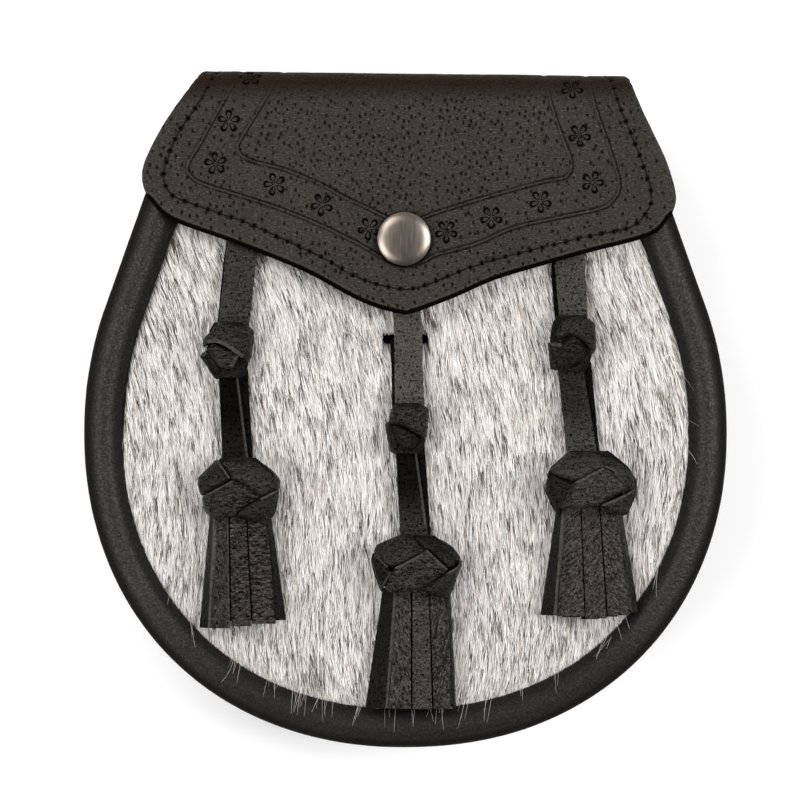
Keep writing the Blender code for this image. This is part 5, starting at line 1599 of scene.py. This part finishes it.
class SPORRAN_OT_flap(bpy.types.Operator):
    """Make the tooled flap, folded over the top, and its stitching"""

    bl_idname = "sporran.flap"
    bl_label = "Flap"

    def execute(self, context):
        sizes = context.scene.sporran_sizes
        colours = context.scene.sporran_colours
        shape, flat, outward = flap_surface()
        rows, columns = shape.shape[:2]
        spots = flat.reshape(-1, 2)

        lines = [smooth_curve(line, 700) for line in TOOLED_LINES]
        line_outer, line_inner = (signed_distance(spots, line) for line in lines)
        line = np.minimum(np.abs(line_outer), np.abs(line_inner))
        # painted shade: the grooves are kept full on the side of each line away from the light, +x, and
        # weakened on the side towards it
        every_line = np.vstack(lines)
        beside = spots - every_line[nearest(spots, every_line)[1]]
        lee = 1.0 - 0.6 * (-beside[:, 0] / np.maximum(np.hypot(beside[:, 0], beside[:, 1]), 1e-6)).clip(0.0)
        sewn = smooth_curve(STITCH_LINE, 1400)
        sewn_points, sewn_out = on_flap(sewn, shape, flat, outward)
        smoothing = np.ones(9) / 9
        for axis in range(3):
            sewn_points[4:-4, axis] = np.convolve(sewn_points[:, axis], smoothing, "valid")
            sewn_out[4:-4, axis] = np.convolve(sewn_out[:, axis], smoothing, "valid")
        sewn_out = normalised(sewn_out)
        seam = nearest(spots, sewn[::2])[0]
        pitch = sizes.stitch_pitch / MM
        thread = stitches(sewn_points - sewn_out * 0.20, sewn_out, pitch, sizes.thread_radius / MM)
        _, hole_at = nearest(thread[2], sewn_points)
        hole = nearest(spots, sewn[hole_at])[0]
        border = np.vstack([flat[0], flat[1:, -1], flat[-1, -2::-1], flat[-2:0:-1, 0]])
        edge = nearest(spots, resampled(border, 1200, closed=True))[0]
        lower_edge = nearest(spots, flat[0])[0]
        flowers = np.array(FLOWERS)
        _, which = nearest(spots, flowers[:, :2])
        turned_by = np.radians(flowers[which, 2])
        away = spots - flowers[which, :2]
        bloom_x = away[:, 0] * np.cos(turned_by) + away[:, 1] * np.sin(turned_by)
        bloom_y = -away[:, 0] * np.sin(turned_by) + away[:, 1] * np.cos(turned_by)
        middle = inside(spots, lines[1]).astype(float)
        around = spots - SNAP_CENTER
        apart = np.hypot(around[:, 0], around[:, 1])
        # a dent round the snap, deeper on its lower side; it is also drawn dark in the leather there, a
        # painted shadow under the snap's lower edge
        dent = bell(apart - SNAP_RADIUS - 0.2, 0.55) * (0.25 + 0.75 * eased(0.2, -0.7, around[:, 1] / apart))

        petal = (np.arctan2(bloom_y, bloom_x) + pi / 5) % (2 * pi / 5) - pi / 5
        reach = np.hypot(bloom_x, bloom_y)
        petal_x = reach * np.cos(petal)
        oval = np.hypot((petal_x - 1.75) / 1.15, reach * np.sin(petal) / (0.18 + 0.26 * petal_x))
        stamp = bell(oval - 1.0, 0.3) * (reach < 3.6)
        depth = -0.20 * bell(line, 0.75)
        depth -= 0.45 * bell(hole, 0.6) + 0.14 * bell(seam, 0.8) + 0.16 * stamp
        depth -= 0.85 * (1.0 - edge / 1.5).clip(0.0) ** 2 + 0.25 * dent
        x, y = spots.T
        depth += 0.10 * noise(x, y, 15.0, 51) + 0.04 * noise(x, y, 2.2, 52)
        depth += 0.10 * noise(x, y, 5.0, 53) * bell(seam, 3.0)
        outer = shape + outward * depth.reshape(rows, columns, 1)

        step = 3
        row_picks = np.unique(np.append(np.arange(0, rows, step), rows - 1))
        column_picks = np.unique(np.append(np.arange(0, columns, step), columns - 1))
        inner = (shape - outward * FLAP_THICKNESS)[np.ix_(row_picks, column_picks)]
        start = rows * columns
        wide = len(column_picks)
        faces = grid_faces(rows, columns).tolist()
        faces += (grid_faces(len(row_picks), wide)[:, ::-1] + start).tolist()
        faces += self.edge_faces(rows, columns, row_picks, column_picks, start)
        points = np.vstack([outer.reshape(-1, 3), inner.reshape(-1, 3)])
        spare = len(points) - start
        bend = eased(84.5, 93.5, y) * eased(118.0, 104.0, y)
        distances = {"line_outer": line_outer, "line_inner": line_inner, "hole": hole,
                     "edge": lower_edge, "bloom_x": bloom_x, "bloom_y": bloom_y}
        marks = {"middle": middle, "bloom": reach < 3.9, "bend": bend, "lee": lee, "dent": dent}
        values = {key: np.append(numbers, np.full(spare, FAR)) for key, numbers in distances.items()}
        values |= {key: np.append(numbers, np.zeros(spare)) for key, numbers in marks.items()}
        inner_flat = flat[np.ix_(row_picks, column_picks)].reshape(-1, 2) + (200.0, 0.0)
        maps = {"hide": np.vstack([spots, inner_flat]) / 100.0}
        look = flap_leather(colours, sizes)
        piece("flap_leather", points, faces, look, ["flap"], values, maps, 60.0)
        stitching("flap_stitching", [thread], colours)
        return {"FINISHED"}

    def edge_faces(self, rows, columns, row_picks, column_picks, start):
        """Edge of the leather, from the fine outer border to the coarse inner one."""
        wide = len(column_picks)
        outer = grid_border(rows, columns)
        inner = grid_border(len(row_picks), wide)
        inner_at = [(row_picks[row], column_picks[column]) for row, column in inner]
        place = {spot: number for number, spot in enumerate(outer)}
        marks = [place[(int(row), int(column))] for row, column in inner_at]
        outer_index = [row * columns + column for row, column in outer]
        inner_index = [start + row * wide + column for row, column in inner]
        faces = []
        for number, mark in enumerate(marks):
            after = (number + 1) % len(marks)
            stop = marks[after] if after else len(outer)
            for spot in range(mark, stop):
                beyond = (spot + 1) % len(outer)
                faces.append([outer_index[beyond], outer_index[spot], inner_index[number]])
            faces.append([outer_index[stop % len(outer)], inner_index[number], inner_index[after]])
        return faces


class SPORRAN_OT_snap(bpy.types.Operator):
    """Make the nickel snap"""

    bl_idname = "sporran.snap"
    bl_label = "Snap"

    def execute(self, context):
        look = nickel_look(context.scene.sporran_colours)
        share = np.sin(np.linspace(0.0, pi / 2, 36))[1:]
        dome = [(SNAP_RADIUS * part, SNAP_TOP - 0.50 * part ** 2 - 0.60 * part ** 7) for part in share]
        steps = ((0.0, 0.4), (0.1, 0.1), (0.5, 0.0))
        lip = [(SNAP_RADIUS - inset, SNAP_SEAT + lift) for inset, lift in steps]
        profile = [(0.02, SNAP_TOP), *dome, *lip, (1.8, SNAP_SEAT), *SOCKET_PROFILE]
        points, faces = turned(profile, SNAP_CENTER, 72)
        piece("snap_cap_nickel", points, faces, look, ["snap_cap"], sharp=50.0)
        points, faces = turned(STUD_PROFILE, SNAP_CENTER, 40)
        piece("snap_stud_nickel", points, faces, look, ["snap_stud"])
        return {"FINISHED"}


def knot_core(center, size, thickness, profile, opening, shrink):
    """Flattened barrel inside a knot's bands, with an opening under it."""
    down = np.linspace(0.0, 1.0, 15)
    rows = np.array(profile)
    part = np.interp(down, rows[:, 0], rows[:, 1]) * shrink
    turn = 2 * pi * np.arange(CORE_SIDES) / CORE_SIDES
    across = np.sign(np.cos(turn)) * np.abs(np.cos(turn)) ** (2 / KNOT_POWER)
    upward = np.sign(np.sin(turn)) * np.abs(np.sin(turn)) ** (2 / KNOT_POWER)
    rings = np.empty((len(down), CORE_SIDES, 3))
    rings[..., 0] = center[0] + size[0] / 2 * part[:, None] * across
    rings[..., 1] = (center[1] + size[1] / 2 - (size[1] - opening) * down)[:, None]
    rings[..., 2] = TASSEL_FLOOR + thickness / 2 * (1.0 + part[:, None] * np.minimum(upward, CORE_RISE))
    flat = np.stack(np.meshgrid(turn * size[0] / 2, size[1] * down), axis=-1)
    return rings.reshape(-1, 3), swept(rings), np.zeros(len(down) * CORE_SIDES), flat.reshape(-1, 2)


def knot_height(center, size, thickness, profile):
    """Function that gives the top of a knot at x and y."""
    rows = np.array(profile)

    def height(x, y):
        down = np.clip((center[1] + size[1] / 2 - y) / size[1], 0.0, 1.0)
        part = np.interp(down, rows[:, 0], rows[:, 1]) * 0.97
        aside = np.clip(np.abs(x - center[0]) / (size[0] / 2 * part * 1.06), 0.0, 0.97)
        return TASSEL_FLOOR + thickness / 2 * (1.0 + part * (1.0 - aside ** KNOT_POWER) ** (1 / KNOT_POWER))

    return height


def knot_band(cut_starts, corners, height, lift, cut_width, seed):
    """One visible face of a knot's strap: a plate over the knot, with cut or folded edges."""
    closed = np.array([*corners, corners[0]])
    way = way_along(closed)
    wanted = np.linspace(0.0, way[-1], int(way[-1] / BAND_SPACING) + 1)[:-1]
    border = at_ways(closed, way, wanted)
    is_cut = np.isin(np.arange(len(corners)), cut_starts).astype(float)
    cut = is_cut[np.searchsorted(way, wanted, side="right") - 1]
    for _ in range(3):
        border = (np.roll(border, 1, axis=0) + 2 * border + np.roll(border, -1, axis=0)) / 4
    for _ in range(2):
        cut = (np.roll(cut, 1) + 2 * cut + np.roll(cut, -1)) / 4
    flat, triangles, rings = filled(border, [], BAND_SPACING, 0.6)
    away, index = nearest(flat, border)
    away[rings[0]] = 0.0
    raw = eased(0.2, 0.8, cut[index])
    x, y = flat[:, 0], flat[:, 1]
    fold_drop = 1.1 * (1.0 - away / 1.5).clip(0.0) ** 2
    cut_drop = 0.30 * (1.0 - away / cut_width).clip(0.0)
    top = height(x, y) + lift - fold_drop * (1 - raw) - cut_drop * raw
    top += 0.14 * noise(x, y, 2.6, seed) + 0.08 * noise(x * 0.5, y, 0.9, seed + 1)
    shade = raw * (1.0 - eased(cut_width * 0.8, cut_width * 1.15, away))
    total = len(flat)
    ring = rings[0]
    low = np.column_stack([flat[ring], top[ring] - BAND_THICKNESS])
    points = np.vstack([np.column_stack([flat, top]), low])
    faces = triangles.tolist()
    under = list(range(total, total + len(low)))
    for number, here in enumerate(ring):
        after = (number + 1) % len(ring)
        faces.append([ring[after], here, under[number], under[after]])
    faces.append(under[::-1])
    shades = np.concatenate([shade, 0.8 * raw[ring]])
    plan = np.vstack([flat, flat[ring]]) + (17.0 * seed, 0.0)
    return points, faces, shades, plan


class SPORRAN_OT_tassels(bpy.types.Operator):
    """Make the three tassels: thongs, knots and fringes"""

    bl_idname = "sporran.tassels"
    bl_label = "Tassels"

    def execute(self, context):
        colours = context.scene.sporran_colours
        colour = tuple(colours.tassel)
        cut = tuple(colours.cut_edge)
        look = tassel_leather("sporran_tassel_leather", colour, cut, 2.2)
        for number, (name, tassel) in enumerate(TASSELS.items()):
            self.thong(name, tassel, look, number, THONG_TEXTURES[name])
            self.knot(name, tassel, "small_knot", look, number)
            self.drop(name, tassel, look, number)
            self.knot(name, tassel, "head", look, number)
            self.fringe(name, tassel, look, number)
        return {"FINISHED"}

    def thong(self, name, tassel, look, number, texture):
        """Both layers of the thong, down into its two slots."""
        high_y, low_y = tassel["thong_levels"]
        knot_y = tassel["small_knot"][1] + tassel["small_knot_size"][1] / 2 - 3.0
        rear_z = TASSEL_FLOOR + THONG_THICKNESS
        layers = (
            (THONG_EDGES[name][0], tassel["upper_slot"], rear_z + THONG_THICKNESS + GAP),
            (THONG_EDGES[name][1], tassel["lower_slot"], rear_z),
        )
        straps = []
        for layer, (edges, slot_at, z) in enumerate(layers):
            ys = np.linspace(knot_y, slot_at[1] - 1.6, 40)
            part = (ys - low_y) / (high_y - low_y)
            left = edges[2] + (edges[0] - edges[2]) * part
            right = edges[3] + (edges[1] - edges[3]) * part
            turn = np.radians(np.linspace(0, 90, 7))[1:]
            bent_y = slot_at[1] - 1.6 + 1.5 * np.sin(turn)
            bent_z = z - 1.5 * (1 - np.cos(turn))
            tail_z = np.linspace(z - 2.4, FUR_UNDERSIDE - 1.2, 4)
            ys = np.concatenate([ys, bent_y, np.full(4, bent_y[-1])])
            zs = np.concatenate([np.full(40, z), bent_z, tail_z])
            shut = eased(slot_at[1] - 12.0, slot_at[1] - 1.0, ys)
            left = np.concatenate([left, np.full(10, left[-1])])
            right = np.concatenate([right, np.full(10, right[-1])])
            middle = (left + right) / 2 + (slot_at[0] - (left[-1] + right[-1]) / 2) * shut
            half = (right - left) / 2
            left_path = np.column_stack([middle - half, ys, zs])
            right_path = np.column_stack([middle + half, ys, zs])
            straps.append(strap(left_path, right_path, bevel=0.5, seed=number * 3 + layer))
        points, faces, values, maps = joined_straps(straps, [texture, PAINTED_SHADE_LOWER_TEXTURE])
        self.leather(name, "thong", points, faces, look, values, maps)

    def knot(self, name, tassel, part, look, number):
        """A knot: its core under the bands that show."""
        thickness, profile, bands, textures, opening, shrink, first_seed = KNOTS[part]
        form = (tassel[part], tassel[f"{part}_size"], thickness, profile)
        height = knot_height(*form)
        shapes = [knot_core(*form, opening, shrink)]
        low_lift, more_lift, cut_width = BAND_LIFTS[part]
        for order, (cut_starts, corners) in enumerate(bands[name]):
            seed = first_seed + order + 5 * number
            lift = low_lift + more_lift * order
            shapes.append(knot_band(cut_starts, corners, height, lift, cut_width, seed))
        points, faces, shades = joined([shape[:3] for shape in shapes])
        flat = np.vstack([shape[3] for shape in shapes])
        counts = [len(shape[0]) for shape in shapes]
        textures = np.array([CORE_TEXTURE, *textures[name]])
        creases, tones = (np.repeat(column, counts) for column in textures.T)
        values = {"cut": shades, "crease": creases, "tone": tones}
        self.leather(name, part, points, faces, look, values, {"hide": flat / 100.0})

    def leather(self, name, part, points, faces, look, values, maps):
        """Add one piece of a tassel, which takes the place of the frame's own."""
        node = f"tassel_{name}_{part}"
        piece(f"{node}_leather", points, faces, look, [node], values, maps)

    def drop(self, name, tassel, look, number):
        """The doubled thong between the knots."""
        top_y = tassel["small_knot"][1] - tassel["small_knot_size"][1] / 2 + 2.5
        end_y = tassel["head"][1] + tassel["head_size"][1] / 2 - 3.0
        ys = np.linspace(top_y, end_y, 40)
        part = np.linspace(0.0, 1.0, 40)
        rear_z = TASSEL_FLOOR + THONG_THICKNESS
        front_z = rear_z + THONG_THICKNESS + GAP
        straps = []
        for layer, z in enumerate((front_z, rear_z)):
            edges = DROP_EDGES[name][layer]
            left = edges[0] + (edges[2] - edges[0]) * part
            right = edges[1] + (edges[3] - edges[1]) * part
            tilted = layer == 0 and name != "right"
            zs = z + 0.2 * np.sin(pi * part)
            left_path = np.column_stack([left, ys, zs + 1.1 * (1.0 - part) * tilted])
            right_path = np.column_stack([right, ys, zs])
            straps.append(strap(left_path[::-1], right_path[::-1], cut=(False, tilted), bevel=0.8,
                                seed=number * 3 + layer + 11))
        points, faces, values, maps = joined_straps(straps, [STRAP_TEXTURE, PAINTED_SHADE_LOWER_TEXTURE])
        # painted shade: the upper layer darkens towards the small knot
        high, low = DROP_PAINTED_SHADE[name]
        tone_and_shade = low + (high - low) * eased(end_y, 0.35 * end_y + 0.65 * top_y, points[:, 1])
        values["tone"] = np.where(values["tone"] > PAINTED_SHADE_LOWER_TEXTURE[1], tone_and_shade, values["tone"])
        if name == "center":
            values["cut"] = values["cut"] * eased(end_y + 2.5, end_y + 8.0, points[:, 1])
        self.leather(name, "drop", points, faces, look, values, maps)

    def fringe(self, name, tassel, look, number):
        """Cut strips in two layers, fanned out from under the head knot."""
        rows = FRINGE_STRIPS[name]
        head_end = tassel["head"][1] - tassel["head_size"][1] / 2
        left_end = min(row[2] for row in rows)
        right_end = max(row[3] for row in rows)
        left_top = rows[0][0]
        right_top = rows[-1][1]
        floor = TASSEL_FLOOR + 0.2
        straps = []
        textures = []
        steps = 36
        part = np.linspace(0.0, 1.0, steps)
        for order, (left0, right0, left1, right1, end_y, raw, tilt, *texture) in enumerate(rows):
            textures.append(texture)
            start = -FRINGE_TUCK / (head_end - end_y)
            way = start + (1.0 - start) * part
            ys = head_end + (end_y - head_end) * way
            left = left0 + (left1 - left0) * way
            right = right0 + (right1 - right0) * way
            low = left_top + (left_end - left_top) * way
            high = right_top + (right_end - right_top) * way
            bow = [5.0 + 1.2 * (1.0 - ((2 * x - low - high) / (high - low)) ** 2) for x in (left, right)]
            if tilt < 0:
                bow = [FRINGE_SIDE_HEIGHT, bow[1] + 0.4]
            if tilt > 0:
                bow[1] = FRINGE_SIDE_HEIGHT
            wave = 0.25 * np.sin(2.2 * way * pi + order * 1.9)
            left_path = np.column_stack([left, ys, floor + bow[0] + wave])
            right_path = np.column_stack([right, ys, floor + bow[1] + wave])
            straps.append(strap(left_path[::-1], right_path[::-1], 1.4, (False, raw > 0.0), raw or 0.4,
                                11, 0.09, 20 + number * 7 + order))
        share = len(FRINGE_LOWER_ENDS[name])
        for order, end_y in enumerate(FRINGE_LOWER_ENDS[name]):
            textures.append(PAINTED_SHADE_LOWER_TEXTURE)
            start = -FRINGE_TUCK / (head_end - end_y)
            way = start + (1.0 - start) * part
            ys = head_end + (end_y - head_end) * way
            low = left_top + 0.6 + (left_end + 1.0 - left_top - 0.6) * way
            high = right_top - 0.6 + (right_end - 1.0 - right_top + 0.6) * way
            width = (high - low) / share
            left = low + width * (order + 0.02)
            right = low + width * (order + 0.98)
            lower_z = floor + 1.5 + 1.2 * (1.0 - ((2 * order - share + 1) / share) ** 2)
            left_path = np.column_stack([left, ys, np.full(steps, lower_z)])
            right_path = np.column_stack([right, ys, np.full(steps, lower_z)])
            straps.append(strap(left_path[::-1], right_path[::-1], 1.2, (False, False), 0.4, 9, 0.05,
                                60 + number * 7 + order))
        points, faces, values, maps = joined_straps(straps, textures)
        self.leather(name, "fringe", points, faces, look, values, maps)


class SPORRAN_OT_stage(bpy.types.Operator):
    """Set the pale floor, the soft lights and the camera"""

    bl_idname = "sporran.stage"
    bl_label = "Stage"

    def execute(self, context):
        scene = context.scene
        floor_look = Shading("stage_floor")
        place = floor_look.place()
        stops = ((0.3, (0.82, 0.82, 0.82)), (0.7, (0.85, 0.85, 0.85)))
        tone = floor_look.ramp(floor_look.noise(place, 400.0, 2.0), stops)
        material = floor_look.finish(tone, None, 0.9, 0.1)
        floor_look.shader.inputs["Emission Color"].default_value = (1.0, 1.0, 1.0, 1.0)
        floor_look.shader.inputs["Emission Strength"].default_value = 0.26
        mesh = bpy.data.meshes.new("floor")
        corners = [(x * FLOOR_REACH, y * FLOOR_REACH, 0) for x, y in ((-1, -1), (1, -1), (1, 1), (-1, 1))]
        mesh.from_pydata(corners, [], [(0, 1, 2, 3)])
        mesh.materials.append(material)
        floor = bpy.data.objects.new("floor", mesh)
        scene.collection.objects.link(floor)

        world = bpy.data.worlds.new("studio")
        scene.world = world
        world.use_nodes = True
        nodes = world.node_tree.nodes
        links = world.node_tree.links
        background = nodes["Background"]
        background.inputs["Strength"].default_value = 0.8
        place = nodes.new("ShaderNodeTexCoord")
        parts = nodes.new("ShaderNodeSeparateXYZ")
        ramp = nodes.new("ShaderNodeValToRGB")
        links.new(place.outputs["Generated"], parts.inputs[0])
        links.new(parts.outputs["Z"], ramp.inputs["Fac"])
        footward = nodes.new("ShaderNodeMapRange")
        footward.inputs["From Min"].default_value = -1.0
        footward.inputs["From Max"].default_value = 0.0
        footward.inputs["To Min"].default_value = 0.20
        links.new(parts.outputs["Y"], footward.inputs["Value"])
        scaled = nodes.new("ShaderNodeVectorMath")
        scaled.operation = "SCALE"
        links.new(ramp.outputs["Color"], scaled.inputs[0])
        links.new(footward.outputs[0], scaled.inputs["Scale"])
        links.new(scaled.outputs[0], background.inputs["Color"])
        elements = ramp.color_ramp.elements
        elements[0].color = (0.85, 0.85, 0.85, 1.0)
        elements[1].color = (0.12, 0.12, 0.12, 1.0)
        for position, level in ((0.30, 0.80), (0.85, 0.25)):
            elements.new(position).color = (level, level, level, 1.0)

        for name, spot, size, power in LIGHTS:
            light = bpy.data.lights.new(name, "AREA")
            light.shape = "SQUARE"
            light.size = size
            light.energy = power
            lamp = bpy.data.objects.new(name, light)
            lamp.location = spot
            aim = Vector(LIT_POINT) - Vector(spot)
            lamp.rotation_euler = aim.to_track_quat("-Z", "Y").to_euler()
            scene.collection.objects.link(lamp)

        camera_data = bpy.data.cameras.new("camera")
        camera_data.sensor_width = 36.0
        camera_data.lens = camera_data.sensor_width * CAMERA_DISTANCE / SEEN_WIDTH
        camera_data.clip_end = 50.0
        camera_data.dof.use_dof = False
        camera = bpy.data.objects.new("camera", camera_data)
        camera.location = (*CAMERA_AIM, CAMERA_DISTANCE + FOCUS_LEVEL)
        scene.collection.objects.link(camera)
        scene.camera = camera
        scene.view_settings.view_transform = "Standard"
        return {"FINISHED"}


class SPORRAN_PT_panel(bpy.types.Panel):
    """Sizes, colours and steps of the sporran pouch"""

    bl_idname = "SPORRAN_PT_panel"
    bl_label = "Sporran Pouch"
    bl_space_type = "VIEW_3D"
    bl_region_type = "UI"
    bl_category = "Sporran"

    def draw(self, context):
        layout = self.layout
        for group in (context.scene.sporran_sizes, context.scene.sporran_colours):
            box = layout.box()
            for name in group.__annotations__:
                box.prop(group, name)
        for step in STEPS:
            layout.operator(step.bl_idname)


STEPS = (
    SPORRAN_OT_stage, SPORRAN_OT_rims, SPORRAN_OT_back, SPORRAN_OT_fur, SPORRAN_OT_flap,
    SPORRAN_OT_snap, SPORRAN_OT_tassels,
)
CLASSES = (SporranSizes, SporranColours, *STEPS, SPORRAN_PT_panel)


def register():
    for made in CLASSES:
        bpy.utils.register_class(made)
    bpy.types.Scene.sporran_sizes = bpy.props.PointerProperty(type=SporranSizes)
    bpy.types.Scene.sporran_colours = bpy.props.PointerProperty(type=SporranColours)


def unregister():
    del bpy.types.Scene.sporran_colours
    del bpy.types.Scene.sporran_sizes
    for made in reversed(CLASSES):
        bpy.utils.unregister_class(made)


def main():
    register()
    bpy.ops.sporran.stage()
    bpy.ops.sporran.rims()
    bpy.ops.sporran.back()
    bpy.ops.sporran.fur()
    bpy.ops.sporran.flap()
    bpy.ops.sporran.snap()
    bpy.ops.sporran.tassels()


if __name__ == "__main__":
    main()
